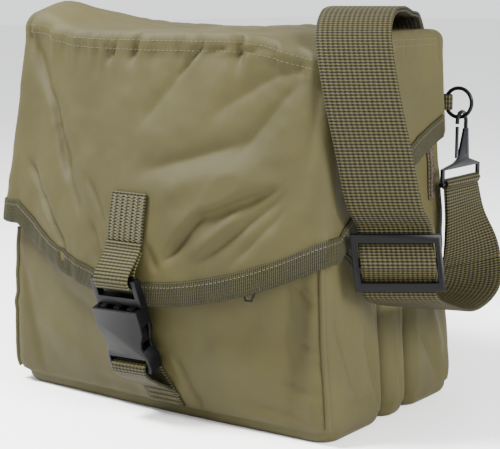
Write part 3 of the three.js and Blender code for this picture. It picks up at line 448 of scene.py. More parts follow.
# Cloth of the compartments
def calm(x, z, middle, half):
    """Share of the folds that stays at a place on the front: nearly none under sewn webbing, all of it elsewhere."""
    return 1 - 0.85 * np.exp(-((x - middle[0]) / half[0]) ** 4 - ((z - middle[1]) / half[1]) ** 4)


def buckle_noise(x, y, z, strength=1.0):
    """Loose cloth: three sizes of drift, longer up than across, in metres outward."""
    return strength * MM * (1.6 * drift(x, y, z * 0.6, 46 * MM) + 0.9 * drift(x + 1, y, z * 0.7, 21 * MM)
                            + 0.35 * drift(x, y + 1, z, 9 * MM))


def compartment(name, front_at, rear_at, strength):
    """One compartment's skin: rings of the soft rectangle up the bag, drawn in round the foot and the top by quarter
    arcs, closed below and above by rings that shrink to the middle, and pushed out by the folds and drift."""
    ring = stations(8, 34, 150)
    levels, arcs, caps = 90, 7, 6
    angle = np.linspace(0, np.pi / 2, arcs)
    foot, top = FOOT_HEIGHT, HEIGHT - SHOULDER_RADIUS
    room = 8.5 * MM if front_at is not None and rear_at is not None else 8.8 * MM
    z = np.concatenate([np.zeros(caps), foot * (1 - np.cos(angle)), np.linspace(foot, top, levels + 1)[1:],
                        top + SHOULDER_RADIUS * np.sin(angle[1:]), np.full(caps, HEIGHT)])
    at = np.concatenate([np.zeros(caps + arcs), np.linspace(foot, top, levels + 1)[1:],
                         np.full(arcs - 1 + caps, HEIGHT)])
    draw = np.concatenate([np.full(caps, 0.6 * foot), 0.6 * foot * (1 - np.sin(angle)), np.zeros(levels),
                           room * (1 - np.cos(angle[1:])), np.full(caps, room)])
    share = np.concatenate([np.linspace(0.02, 0.96, caps), np.ones(len(z) - 2 * caps), np.linspace(0.96, 0.02, caps)])
    z, at, draw, share = [v[:, None] for v in (z, at, draw, share)]
    left, right = -HALF_WIDTH * section(1, at) + draw, HALF_WIDTH * section(2, at) - draw
    front = (-HALF_DEPTH * section(3, at) if front_at is None else front_at) + draw
    rear = (HALF_DEPTH * section(4, at) if rear_at is None else rear_at) - draw
    swell = FRONT_BULGE * section(5, at) if front_at is None else 0
    radius = np.minimum(CORNER_RADIUS, 0.45 * (rear - front))
    x, y = soft_ring(ring, left, right, front, rear, swell, radius)
    nx, ny = ring[2][None, :], ring[3][None, :]
    middle_x, middle_y = (left + right) / 2, (front + rear) / 2
    x, y = lerp(middle_x, x, share), lerp(middle_y, y, share)
    z = np.broadcast_to(z, x.shape)
    shown = np.clip(z / (14 * MM), 0, 1) * np.clip((HEIGHT - z) / (20 * MM), 0, 1) * (share > 0.99)
    push = buckle_noise(x, y, z, strength) * shown
    if front_at is None:
        push = push + shown * np.clip(-ny, 0, 1) ** 2 * fold_field(x, z, FACE_FOLDS)
        push = push * calm(x, z, SEWN_FOOT, (24 * MM, 20 * MM))
        corner = np.minimum(np.hypot(x - right, y - front), np.hypot(x - left, y - front))
        push = push + shown * 0.7 * MM * np.exp(-(corner / (15 * MM)) ** 2) * drift(0 * x, x * 0.2, z, 8 * MM)
    push = push + shown * nx**2 * fold_field(y, z, SIDE_FOLDS)
    if front_at is not None:
        push = push * np.where(ny < -0.3, 0, 1)
    if rear_at is not None:
        push = push * np.where(ny > 0.3, 0, 1)
    push = np.clip(push, -4.5 * MM, 3.0 * MM)
    under_flap = np.clip((z - EDGE_REAR + 22 * MM) / (14 * MM), 0, 1) * np.clip(3 * ny, 0, 1)
    push = lerp(push, np.minimum(push, 0), under_flap)
    points = np.stack([x + nx * push, y + ny * push, z], -1)
    return tidy(grid_object(name, points, wrap=True)), points, ring


front_cloth, front_points, _ = compartment("front_compartment_cloth", None, FRONT_SEAM - SEAM_GAP / 2, 1.0)
dress(front_cloth, nylon, "nylon_cloth", "front_compartment")
middle_cloth, _, _ = compartment("middle_compartment_cloth", FRONT_SEAM + SEAM_GAP / 2, REAR_SEAM - SEAM_GAP / 2, 0.8)
dress(middle_cloth, nylon, "nylon_cloth", "middle_compartment")
rear_cloth, rear_points, _ = compartment("rear_compartment_cloth", REAR_SEAM + SEAM_GAP / 2, None, 1.0)
dress(rear_cloth, nylon, "nylon_cloth", "rear_compartment")


# Flap
def edge_height(x, y):
    """Height of the flap's lower edge: a bowed line across the front and a rising one along the sides."""
    across = lerp(EDGE_MIDDLE, EDGE_CORNER, np.minimum(np.abs(x / HALF_WIDTH - 0.06), 1) ** 1.9)
    s = np.clip((y - WING_START) / (HALF_DEPTH - WING_START), 0, 1)
    along = lerp(EDGE_CORNER, EDGE_REAR, s**0.86 * 1.04 - 0.04 * s)
    return np.where(y > WING_START, np.maximum(across * (y < WING_START + 4 * MM), along), across)


def top_lift(x, y):
    """Height of the lumps of the flap's top: a sum of round Gaussians."""
    total = 0
    for cx, cy, spread, rise in TOP_LUMPS:
        away = np.hypot(x - cx * HALF_WIDTH, y - cy * HALF_DEPTH) / (spread * WIDTH)
        total = total + rise * HEIGHT * np.exp(-away * away)
    return total


def flap_push(x, y, z, nx, ny, edge):
    """Outward push of the flap: folds on the front, drift all over, gathers under the top seam and at the binding, all
    of it calmed under the sewn patch."""
    facing = np.clip(-ny, 0, 1) ** 2
    push = 1.2 * buckle_noise(x, y + 0.7, z)
    push = push + 1.35 * facing * fold_field(x, z, FLAP_FOLDS) + nx**2 * 0.8 * fold_field(y, z, SIDE_FOLDS)
    run = x * np.abs(ny) + y * np.abs(nx)
    near_top = np.clip((z - (HEIGHT - 26 * MM)) / (26 * MM), 0, 1) ** 2
    near_edge = np.exp(-np.maximum(z - edge - 12 * MM, 0) / (11 * MM))
    gathers = drift(run, 0 * run, z * 0.12, 6.5 * MM)
    push = push + (2.4 * near_top + 1.2 * near_edge) * MM * gathers
    return push * lerp(1, calm(x, z, SEWN_PATCH, (24 * MM, 28 * MM)), facing)


def flap_points():
    """The flap as rows from its lower edge up the face, over the shoulder and in across the top to the middle line."""
    ring = stations(9, 56, 150)
    rows, arcs, caps = 84, 12, 26
    top = HEIGHT + FLAP_ROOM["top"] + FLAP_WALL
    ridge = 9 * MM
    nx, ny = ring[2][None, :], ring[3][None, :]

    def outline(at, draw):
        left = -HALF_WIDTH * section(1, at) - FLAP_ROOM["left"] - FLAP_WALL + draw
        right = HALF_WIDTH * section(2, at) + FLAP_ROOM["right"] + FLAP_WALL - draw
        front = -HALF_DEPTH * section(3, at) - FLAP_ROOM["front"] - FLAP_WALL + draw
        rear = HALF_DEPTH * section(4, at) + FIT + FLAP_WALL - draw
        return soft_ring(ring, left, right, front, rear, FRONT_BULGE * section(5, at), CORNER_RADIUS + FLAP_WALL)

    x0, y0 = outline(np.array([[0.5 * HEIGHT]]), 0)
    edge = edge_height(x0, y0)
    share = np.linspace(0, 1, rows)[:, None]
    z = lerp(edge, top - ridge, share)
    x, y = outline(z, 0)
    edge = edge_height(x[:1], y[:1])
    z = lerp(edge, top - ridge, share)
    x, y = outline(z, 0)
    push = np.clip(flap_push(x, y, z, nx, ny, edge), -7.0 * MM, 5.0 * MM)
    push = lerp(push, 0.4 * np.maximum(push, 0), np.clip(3 * ny, 0, 1))
    face = np.stack([x + nx * push, y + ny * push, z], -1)

    angle = np.linspace(0, np.pi / 2, arcs + 1)[1:, None]
    draw = ridge * 0.8 * (1 - np.cos(angle))
    xs, ys = outline(np.full_like(angle, HEIGHT), draw)
    zs = np.broadcast_to(top - ridge * (1 - np.sin(angle)), xs.shape)
    fade = np.cos(angle)
    start = push[-1:]
    shoulder = np.stack([xs + nx * start * fade, ys + ny * start * fade, zs], -1)

    keep = np.linspace(1, 0, caps + 1)[1:, None] ** 0.9
    rim_x, rim_y = xs[-1:], ys[-1:]
    xt = rim_x * keep
    yt = lerp(-0.02 * HALF_DEPTH, rim_y, keep)
    zt = np.full_like(xt, top)
    crumple = drift(xt, yt, 0 * xt, 24 * MM) * 2.4 * MM + drift(xt, yt, 0 * xt + 1, 11 * MM) * 1.0 * MM
    crown = np.stack([xt, yt, zt + crumple * (1 - keep**6)], -1)
    points = np.concatenate([face, shoulder, crown])
    lift = top_lift(points[..., 0], points[..., 1])
    rise = np.clip((points[..., 2] - 0.8 * HEIGHT) / (0.2 * HEIGHT), 0, 1)
    points[..., 2] += rise * rise * lift
    return points, ring, rows, edge


flap_grid, flap_ring, face_rows, flap_edge = flap_points()
flap_cloth = tidy(grid_object("flap_cloth", flap_grid, wrap=True), outward=False)
wall = flap_cloth.modifiers.new("wall", "SOLIDIFY")
wall.thickness = FLAP_WALL
wall.offset = -1
dress(flap_cloth, nylon, "nylon_cloth", "flap")

flap_normals = grid_normals(flap_grid, True)


def u_profile(width, wall_in, wall_out, thickness):
    """Outline of a tape folded over an edge, as (up from the edge, out from the cloth's outer face): down the outer
    side, round below the edge and up the inner side, then back along the tape's own inner face."""
    drop = thickness + FIT
    outer = [(width, wall_out + 0.6 * thickness), (width - 0.6 * MM, wall_out + thickness),
             (2 * MM, wall_out + thickness), (-0.4 * drop, wall_out + 0.8 * thickness),
             (-drop, 0.3 * wall_in), (-0.4 * drop, wall_in - 0.8 * thickness),
             (2 * MM, wall_in - thickness), (width, wall_in - thickness)]
    inner = [(width, wall_in), (0.3 * MM, wall_in), (0.3 * MM, wall_out), (width - 0.6 * MM, wall_out),
             (width, wall_out)]
    return np.array(outer + inner)


def edge_binding():
    """Binding: the folded-tape outline carried along the flap's lower edge, on the flap's own surface."""
    columns = np.arange(flap_grid.shape[1])
    along_y = flap_grid[0, :, 1]
    back = (along_y > HALF_DEPTH - CORNER_RADIUS) & (flap_ring[3] > 0.05)
    keep = np.roll(~back, -int(np.argmax(back)))
    order = np.roll(columns, -int(np.argmax(back)))[keep]
    fine = np.arange(0, len(order) - 1, 0.5)
    c = order[0] + fine
    profile = u_profile(BINDING_WIDTH, -FLAP_WALL, 0.1 * MM, BINDING_WALL)
    top = HEIGHT + FLAP_ROOM["top"] + FLAP_WALL - 9 * MM
    edge = on_grid(flap_edge[..., None].repeat(2, 0), np.zeros_like(c), c)[:, 0]
    step = (top - edge) / (face_rows - 1)
    rows = profile[:, 0][None, :] / step[:, None]
    base = on_grid(flap_grid, np.maximum(rows, 0), c[:, None] + 0 * rows)
    below = np.minimum(rows, 0) * step[:, None]
    normal = on_grid(flap_normals, np.maximum(rows, 0.0), c[:, None] + 0 * rows)
    normal = normal / np.linalg.norm(normal, axis=2, keepdims=True)
    points = base + normal * profile[:, 1][None, :, None]
    points[..., 2] += below
    length = np.concatenate([[0], np.cumsum(np.linalg.norm(np.diff(points[:, 2], axis=0), axis=1))])
    around = np.concatenate([[0], np.cumsum(np.linalg.norm(np.diff(profile, axis=0), axis=1))])
    uv = np.stack(np.broadcast_arrays(around[None, :], length[:, None]), -1)
    return points, uv


def capped(name, points, uv=None):
    """A closed tube from sections that wrap round, each end closed by one face."""
    rows, columns = points.shape[:2]
    faces = quads(rows, columns, wrap_columns=True).tolist()
    faces += [list(range(columns)), list(range((rows - 1) * columns, rows * columns))]
    uvs = None if uv is None else uv.reshape(-1, 2)
    return tidy(mesh_object(name, points.reshape(-1, 3), faces, uvs))


binding_points, binding_uv = edge_binding()
binding = capped("flap_binding_tape", binding_points, binding_uv)
dress(binding, tape, "binding_tape", "flap_binding")


def front_y(x, z):
    """Y of the flap's outer face at a place on its front: the soft rectangle's front plus the push."""
    left = -HALF_WIDTH * section(1, z) - FLAP_ROOM["left"] - FLAP_WALL
    right = HALF_WIDTH * section(2, z) + FLAP_ROOM["right"] + FLAP_WALL
    u = (x - (left + right) / 2) / ((right - left) / 2)
    y = (-HALF_DEPTH * section(3, z) - FLAP_ROOM["front"] - FLAP_WALL
         - FRONT_BULGE * section(5, z) * (1 - u * u) ** 2)
    return y - np.clip(flap_push(x, y, z, 0 * x, 0 * x - 1, edge_height(x, y)), -7.0 * MM, 5.0 * MM)


# Straps
def centripetal(values, per_span, chords):
    """Points on a centripetal Catmull-Rom curve through values, per_span to a span, with chords^0.5 as its steps."""
    v = np.concatenate([2 * values[:1] - values[1:2], values, 2 * values[-1:] - values[-2:-1]])
    gap = np.sqrt(np.linalg.norm(np.diff(np.concatenate([2 * chords[:1] - chords[1:2], chords,
                                                         2 * chords[-1:] - chords[-2:-1]]), axis=0), axis=1))
    out = []
    t = np.linspace(0, 1, per_span, endpoint=False)[:, None]
    for i in range(len(values) - 1):
        p0, p1, p2, p3 = v[i:i + 4]
        d0, d1, d2 = gap[i:i + 3]
        m1 = ((p1 - p0) / d0 - (p2 - p0) / (d0 + d1) + (p2 - p1) / d1) * d1
        m2 = ((p2 - p1) / d1 - (p3 - p1) / (d1 + d2) + (p3 - p2) / d2) * d1
        out.append((2 * t**3 - 3 * t**2 + 1) * p1 + (t**3 - 2 * t**2 + t) * m1
                   + (3 * t**2 - 2 * t**3) * p2 + (t**3 - t**2) * m2)
    out.append(values[-1:])
    return np.concatenate(out)


def strip(points, across, breadth, thickness, lift=0.0):
    """A flat strip: a rounded flat outline carried along points, its width along across and its normal along x across.
    Returns the sections, their UVs in metres and the frames."""
    along = np.gradient(points, axis=0)
    along /= np.linalg.norm(along, axis=1, keepdims=True)
    across = across / np.linalg.norm(across, axis=1, keepdims=True)
    normal = np.cross(along, across)
    normal /= np.linalg.norm(normal, axis=1, keepdims=True)
    half, round_ = breadth / 2, thickness / 2
    a = np.concatenate([np.linspace(-half + round_, half - round_, 9),
                        half - round_ + round_ * np.sin(np.radians([45, 90, 135])),
                        np.linspace(half - round_, -half + round_, 9), -half + round_ - round_ * np.sin(np.radians([45, 90, 135]))])
    n = np.concatenate([np.full(9, -round_), -round_ * np.cos(np.radians([45, 90, 135])),
                        np.full(9, round_), round_ * np.cos(np.radians([45, 90, 135]))])
    sections = (points[:, None] + across[:, None] * a[None, :, None] + normal[:, None] * (n + lift)[None, :, None])
    length = np.concatenate([[0], np.cumsum(np.linalg.norm(np.diff(points, axis=0), axis=1))])
    uv = np.stack(np.broadcast_arrays(a[None, :], length[:, None]), -1)
    return sections, uv, (across, normal, length)


def stitches(name, starts, ends, normals, radius=0.28 * MM, lift=0.12 * MM):
    """Rows of thread: each stitch is a spindle from start to end, five sides by three rings, bowed up from the cloth."""
    starts, ends, normals = (np.asarray(v, float) for v in (starts, ends, normals))
    along = ends - starts
    side = np.cross(along, normals)
    side /= np.linalg.norm(side, axis=1, keepdims=True)
    share = np.array([0.0, 0.25, 0.5, 0.75, 1.0])
    fat = np.array([0.25, 0.9, 1.0, 0.9, 0.25]) * radius
    angle = 2 * np.pi * np.arange(5) / 5
    centre = starts[:, None] + along[:, None] * share[None, :, None] + normals[:, None] * (lift * np.sin(np.pi * share))[None, :, None]
    points = (centre[:, :, None]
              + side[:, None, None] * (fat[None, :, None] * np.cos(angle)[None, None, :])[..., None]
              + normals[:, None, None] * (fat[None, :, None] * np.sin(angle)[None, None, :])[..., None])
    one = quads(5, 5, wrap_columns=True)
    many = np.arange(len(starts))[:, None, None] * 25
    faces = (one[None] + many).reshape(-1, 4)
    return mesh_object(name, points.reshape(-1, 3), faces.tolist())


def sewn_along(points, normals, length=2.2 * MM, gap=0.9 * MM):
    """Starts, ends and normals of stitches laid along a line of points."""
    run = np.concatenate([[0], np.cumsum(np.linalg.norm(np.diff(points, axis=0), axis=1))])
    at = np.arange(gap, run[-1] - length, length + gap)
    pick = lambda s: np.stack([np.interp(s, run, points[:, k]) for k in range(3)], 1)
    turn = np.stack([np.interp(at + length / 2, run, normals[:, k]) for k in range(3)], 1)
    return pick(at), pick(at + length), turn / np.linalg.norm(turn, axis=1, keepdims=True)


SHORT_RUN = np.array([
    (1.065, 1.045, 0.520, 84, 0.10), (1.130, 0.970, 0.425, 62, 0.18), (1.200, 0.700, 0.345, 32, 0.10),
    (1.225, 0.230, 0.318, 16, 0.00), (1.235, -0.240, 0.350, 26, 0.00),
])
LONG_RUN = np.array([
    (1.215, -0.720, 0.630, 36, 0), (1.175, -0.800, 0.780, 36, 0), (1.100, -0.800, 0.940, 36, 0),
    (1.020, -0.690, 1.065, 35, 0), (0.950, -0.450, 1.120, 33, 0), (0.870, -0.080, 1.132, 30, 0),
    (0.760, 0.380, 1.118, 24, 0), (0.650, 0.840, 1.100, 18, 0), (0.600, 1.100, 1.020, 14, 0),
    (0.560, 1.190, 0.860, 24, 0), (0.440, 1.330, 0.660, 50, 0), (0.230, 1.400, 0.490, 74, 0),
    (-0.080, 1.420, 0.380, 86, 0), (-0.450, 1.450, 0.325, 90, 0), (-0.820, 1.460, 0.330, 98, 0),
    (-1.060, 1.390, 0.370, 112, 0), (-1.145, 1.190, 0.445, 110, 0), (-1.120, 1.045, 0.530, 93, 0),
])
STRAP_WIDTH, STRAP_WALL, LAYER = 50.8 * MM, 1.8 * MM, 2.2 * MM
SLIDER_HEIGHT, SLIDER_RAIL, SLIDER_WALL = 40 * MM, 6 * MM, 4 * MM
CENTRE_BAR, CENTRE_WALL = 6 * MM, 3 * MM
HOOK_BAR = 4 * MM
slider_turn = np.radians(36)
SLIDER_ACROSS = np.array([np.cos(slider_turn), np.sin(slider_turn), 0])
SLIDER_UP = np.array([-0.06, -0.12, 1]) / np.linalg.norm([-0.06, -0.12, 1])
SLIDER_FACE = -np.cross(SLIDER_UP, SLIDER_ACROSS)
SLIDER_FACE /= np.linalg.norm(SLIDER_FACE)
SLIDER_MIDDLE = np.array([1.245 * HALF_WIDTH, -0.6 * HALF_DEPTH, 0.485 * HEIGHT])


def in_slider(n, s):
    return SLIDER_MIDDLE + SLIDER_FACE * n + SLIDER_UP * s


def strap_rows(table):
    turn = np.radians(table[:, 3])
    points = table[:, :3] * [HALF_WIDTH, HALF_DEPTH, HEIGHT]
    across = np.stack([np.cos(turn), np.sin(turn), table[:, 4]], 1)
    return points, across / np.linalg.norm(across, axis=1, keepdims=True)


def hook_bar(hand):
    """Middle of a hook's strap bar, from its CAD node: the bar is the node's lowest 4 mm."""
    low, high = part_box(f"hook_{hand}")
    return np.array([bar_x[hand], (low[1] + high[1]) / 2, low[2] + HOOK_BAR / 2])


bar_x = {"right": 148.2 * MM, "left": -149.98 * MM}


def shoulder_strap():
    """The strap's layers as strips through their stations: single from the right hook to the slider, doubled from the
    slider over the bag to the left hook, with short wraps in the slider and round both hook bars."""
    behind = SLIDER_WALL / 2 + FIT + STRAP_WALL * 0.72
    over = CENTRE_WALL / 2 + FIT + STRAP_WALL * 1.5
    slot_edge = SLIDER_HEIGHT / 2 - SLIDER_RAIL
    start = {hand: hook_bar(hand) - [0, 0, HOOK_BAR / 2 + FIT + STRAP_WALL * 0.8] for hand in bar_x}
    side = np.array([[0.0, 1.0, 0.0]])
    short_points, short_across = strap_rows(SHORT_RUN)
    long_points, long_across = strap_rows(LONG_RUN)
    acr = SLIDER_ACROSS[None]
    single_p = np.concatenate([start["right"][None], short_points,
                               in_slider(-behind - 5 * FIT, -SLIDER_HEIGHT / 2 - 5 * MM)[None],
                               in_slider(-behind, -slot_edge)[None]])
    single_a = np.concatenate([side, short_across, acr, acr])
    doubled_p = np.concatenate([in_slider(-behind, slot_edge)[None],
                                in_slider(-behind, SLIDER_HEIGHT / 2 + 4 * MM)[None],
                                long_points, start["left"][None]])
    doubled_a = np.concatenate([acr, acr, long_across, side])
    through_p = np.array([in_slider(n, s) for n, s in [
        (-behind, -slot_edge - 1 * MM), (-behind + 0.6 * MM, -slot_edge + 1 * MM),
        (over * 0.6, -CENTRE_BAR / 2 - 2 * MM),
        (over, -CENTRE_BAR / 4), (over, CENTRE_BAR / 4), (over * 0.6, CENTRE_BAR / 2 + 2 * MM),
        (-behind + 0.6 * MM, slot_edge - 1 * MM), (-behind, slot_edge + 1 * MM)]])
    layers = {}
    p, a = centripetal(single_p, 10, single_p), centripetal(single_a, 10, single_p)
    layers["single"] = strip(p, a, STRAP_WIDTH, STRAP_WALL)
    layers["single_end"] = strip(p[:24], a[:24], STRAP_WIDTH, STRAP_WALL, LAYER - FIT)
    t = centripetal(through_p, 6, through_p)
    layers["through"] = strip(t, np.repeat(acr, len(t), 0), STRAP_WIDTH, STRAP_WALL)
    p, a = centripetal(doubled_p, 12, doubled_p), centripetal(doubled_a, 12, doubled_p)
    layers["outer"] = strip(p, a, STRAP_WIDTH, STRAP_WALL)
    layers["inner"] = strip(p[14:], a[14:], STRAP_WIDTH, STRAP_WALL, LAYER)
    end = np.array([in_slider(n, s) for n, s in [
        (-behind, SLIDER_HEIGHT / 2 + 6 * MM), (-behind - LAYER, slot_edge),
        (-CENTRE_WALL / 2 - FIT - STRAP_WALL / 2, CENTRE_BAR / 2 + 1 * MM), (-CENTRE_WALL / 2 - FIT - STRAP_WALL / 2, -CENTRE_BAR / 2)]])
    e = centripetal(end, 6, end)
    layers["sewn_end"] = strip(e, np.repeat(acr, len(e), 0), STRAP_WIDTH, STRAP_WALL)
    for hand in bar_x:
        angle = np.linspace(0, 2 * np.pi, 25)
        radius = HOOK_BAR / 2 + FIT + STRAP_WALL / 2
        ring = hook_bar(hand) + radius * np.stack([np.sin(angle), 0 * angle, -np.cos(angle)], 1)
        layers[f"wrap_{hand}"] = strip(ring, np.repeat(side, 25, 0), STRAP_WIDTH, STRAP_WALL)
    return layers


strap_layers = shoulder_strap()


def join_strips(name, strips):
    """Several capped strips as one object with UVs."""
    verts, faces, uvs, start = [], [], [], 0
    for sections, uv, _ in strips:
        rows, columns = sections.shape[:2]
        verts.append(sections.reshape(-1, 3))
        uvs.append(uv.reshape(-1, 2))
        faces += (quads(rows, columns, wrap_columns=True) + start).tolist()
        faces += [[start + k for k in range(columns)], [start + (rows - 1) * columns + k for k in range(columns)]]
        start += rows * columns
    return tidy(mesh_object(name, np.concatenate(verts), faces, np.concatenate(uvs)))


strap = join_strips("shoulder_strap_webbing", list(strap_layers.values()))
dress(strap, webbing, "webbing", "shoulder_strap")


# Webbing, tapes and cords sewn to the cloth
def laid(name, points, across, breadth, thickness, material, slot, *nodes):
    """One sewn strip as an object of its own, in place of its CAD nodes. Returns its directions across, normals and
    run.
    """
    across = np.broadcast_to(np.asarray(across, float), points.shape)
    made = strip(points, across, breadth, thickness)
    dress(join_strips(name, [made]), material, slot, *nodes)
    return made[2]


def sew(name, rows):
    """Thread for several rows of stitches, each given as starts, ends and normals."""
    starts, ends, normals = (np.concatenate(part) for part in zip(*rows))
    thread_obj = stitches(name, starts, ends, normals)
    return dress(thread_obj, thread, "webbing")


CLOSURE_WIDTH, CLOSURE_WALL = 32 * MM, 1.8 * MM
SEW_LIFT = FIT + CLOSURE_WALL / 2
X_AXIS = np.array([1.0, 0, 0])

# The patch's top and foot and the sides, half breadth and step of its zigzags of thread, in millimetres.
PATCH_TOP, PATCH_FOOT = 168, 131
ZIGZAG_REACH, ZIGZAG_HALF, ZIGZAG_STEP = 12.5, 1.9, 1.1

patch_z = np.linspace(PATCH_TOP, PATCH_FOOT, 20) * MM
patch_x = 0 * patch_z
patch_points = np.stack([patch_x, front_y(patch_x, patch_z) - SEW_LIFT, patch_z], 1)
laid("closure_patch_webbing", patch_points, X_AXIS, CLOSURE_WIDTH, CLOSURE_WALL, webbing, "webbing",
     "closure_patch")
patch_rows = []
for column_x in np.linspace(-ZIGZAG_REACH, ZIGZAG_REACH, 6) * MM:
    z = np.arange(PATCH_TOP - 2, PATCH_FOOT + 2, -ZIGZAG_STEP) * MM
    side = np.where(np.arange(len(z)) % 2, ZIGZAG_HALF, -ZIGZAG_HALF) * MM
    line = np.stack([column_x + side, front_y(0 * z, z) - SEW_LIFT - CLOSURE_WALL / 2, z], 1)
    patch_rows.append((line[:-1], line[1:], np.tile([0.0, -1, 0], (len(z) - 1, 1))))
sew("closure_patch_thread", patch_rows)

# The buckle's own frame: its middle, its long axis leaned over the flap's edge and its face.
BUCKLE_LENGTH, BUCKLE_DEPTH = 50 * MM, 13 * MM
BUCKLE_LEAN = np.radians(19.17)
buckle_low, buckle_high = (np.array(v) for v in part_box("buckle_female"))
lean, tilt = BUCKLE_LEAN, np.radians(-2)
TURN_X = np.array([[1, 0, 0], [0, np.cos(lean), -np.sin(lean)], [0, np.sin(lean), np.cos(lean)]])
TURN_Y = np.array([[np.cos(tilt), 0, np.sin(tilt)], [0, 1, 0], [-np.sin(tilt), 0, np.cos(tilt)]])
BUCKLE_TURN = TURN_X @ TURN_Y
BUCKLE_MIDDLE = np.array([-1 * MM, (buckle_low[1] + buckle_high[1]) / 2, (buckle_low[2] + buckle_high[2]) / 2])
BUCKLE_ACROSS = BUCKLE_TURN @ X_AXIS


def around_bar(bar_at, bar_half, middle, bar_depth, turn):
    """Centre line of webbing round a bar of the buckle, in the order front, beyond the bar, back."""
    out = bar_depth + FIT + CLOSURE_WALL / 2
    end = bar_half + FIT + CLOSURE_WALL / 2
    bend, clear = 0.35 * CLOSURE_WALL, bar_half + 0.7 * CLOSURE_WALL
    places = [(-out, -clear), (-out, bar_half + FIT), (bend - out, end), (out - bend, end), (out, bar_half + FIT),
              (out, -clear)]
    return np.array([BUCKLE_MIDDLE + BUCKLE_TURN @ np.array([0, middle + n, bar_at + turn * up]) for n, up in places])


def on_flap(z, lift):
    x = np.array([0.0])
    return np.array([0, front_y(x, np.array([z]))[0] - SEW_LIFT - lift, z])


MALE_WALL, MALE_BAR, MALE_FRAME = 6 * MM, 5 * MM, 21 * MM
male_bar_at = BUCKLE_LENGTH / 2 + MALE_FRAME - MALE_BAR / 2
male_middle = BUCKLE_DEPTH / 2 - FIT - MALE_WALL / 2
loop_stations = np.concatenate([
    [on_flap(133.5 * MM, CLOSURE_WALL + FIT), on_flap(129.2 * MM, CLOSURE_WALL + FIT)],
    around_bar(male_bar_at, MALE_BAR / 2, male_middle, MALE_WALL / 2, -1),
    [on_flap(127.4 * MM, 0)]])
loop_points = centripetal(loop_stations, 5, loop_stations)
loop_across = centripetal(np.array([X_AXIS] * 2 + [BUCKLE_ACROSS] * 6 + [X_AXIS]), 5, loop_stations)
laid("closure_loop_webbing", loop_points, loop_across, CLOSURE_WIDTH, CLOSURE_WALL, light_webbing, "webbing",
     "closure_loop")


def bag_face(x, z, lift):
    """A place out from the front compartment's face, on the CAD's own form."""
    left, right = -HALF_WIDTH * section(1, z), HALF_WIDTH * section(2, z)
    u = (x - (left + right) / 2) / ((right - left) / 2)
    y = -HALF_DEPTH * section(3, z) - FRONT_BULGE * section(5, z) * (1 - u * u) ** 2
    return np.array([x, y - SEW_LIFT - lift, z])


tail_stations = np.concatenate([
    [bag_face(13 * MM, 11 * MM, 0), bag_face(9 * MM, 22 * MM, 0)],
    around_bar(-0.455 * BUCKLE_LENGTH, 0.045 * BUCKLE_LENGTH, 0, BUCKLE_DEPTH / 2 + FIT, 1)[::-1],
    [bag_face(8 * MM, 24.2 * MM, CLOSURE_WALL + 2 * FIT)]])
tail_points = centripetal(tail_stations, 5, tail_stations)
tail_across = centripetal(np.array([X_AXIS] * 2 + [BUCKLE_ACROSS] * 6 + [X_AXIS]), 5, tail_stations)
laid("closure_tail_webbing", tail_points, tail_across, CLOSURE_WIDTH, CLOSURE_WALL, webbing, "webbing",
     "closure_tail")
tail_rows = []
for height in (12, 16, 20):
    x = 12 * MM + np.linspace(-14, 14, 27) * MM
    z = (height + np.where(np.arange(27) % 2, 0.9, -0.9)) * MM
    line = np.array([bag_face(a, b, CLOSURE_WALL / 2) for a, b in zip(x, z)])
    tail_rows.append((line[:-1], line[1:], np.tile([0.0, -1, 0], (26, 1))))
sew("closure_tail_thread", tail_rows)

RING_RADIUS, TAB_WIDTH, TAB_WALL, TAB_LENGTH = 11 * MM, 12 * MM, 1.6 * MM, 30 * MM
for hand, side in (("right", 1), ("left", -1)):
    low, high = (np.array(v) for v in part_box(f"ring_{hand}"))
    centre = (low + high) / 2
    sag = RING_RADIUS - np.sqrt(RING_RADIUS**2 - (TAB_WIDTH / 2) ** 2)
    bend = 1.5 * MM + 2 * FIT + sag / 2 + TAB_WALL / 2
    at = centre[0] - side * (RING_RADIUS - sag / 2)
    near = centre[1] - bend
    half_turn = np.radians([-45, 0, 45])
    places = [(at - side * TAB_LENGTH, near), (at - side * bend, near)]
    places += [(at + side * bend * np.cos(t), centre[1] + bend * np.sin(t)) for t in half_turn]
    places += [(at - side * bend, centre[1] + bend), (at - side * 3.2 * bend, near + TAB_WALL + FIT),
               (at - side * TAB_LENGTH, near + TAB_WALL + FIT)]
    tab_stations = np.array([(x, y, centre[2]) for x, y in places])
    tab_points = centripetal(tab_stations, 5, tab_stations)
    laid(f"ring_tab_{hand}_webbing", tab_points, (0, 0, side), TAB_WIDTH, TAB_WALL, webbing, "webbing",
         f"ring_tab_{hand}")


def grid_row(z):
    """Row of a compartment's grid at height z, between its foot and its shoulder."""
    return 12 + (np.asarray(z) - FOOT_HEIGHT) / (HEIGHT - SHOULDER_RADIUS - FOOT_HEIGHT) * 90


def on_cloth(points, rows, columns):
    """Places on a compartment's cloth and their normals, at fractional rows and columns of its grid."""
    normal = on_grid(grid_normals(points, True), rows, columns)
    return on_grid(points, rows, columns), normal / np.linalg.norm(normal, axis=-1, keepdims=True)


def cord_object(name, points, normals, radius, sides=10):
    """A round cord along points: circles across its run, closed at both ends."""
    along = np.gradient(points, axis=0)
    side = np.cross(along, normals)
    side /= np.linalg.norm(side, axis=1, keepdims=True)
    angle = 2 * np.pi * np.arange(sides) / sides
    rings = (points[:, None] + side[:, None] * (radius * np.cos(angle))[None, :, None]
             + normals[:, None] * (radius * np.sin(angle))[None, :, None])
    return capped(name, rings)


piping_z = np.linspace(12, 124, 90) * MM
for hand, column in (("right", 4.0), ("left", 246.0)):
    place, out = on_cloth(front_points, grid_row(piping_z), np.full(90, column))
    dress(cord_object(f"front_piping_{hand}_cord", place + 0.5 * MM * out, out, 2.2 * MM), nylon, "nylon_cloth",
          f"front_piping_{hand}")


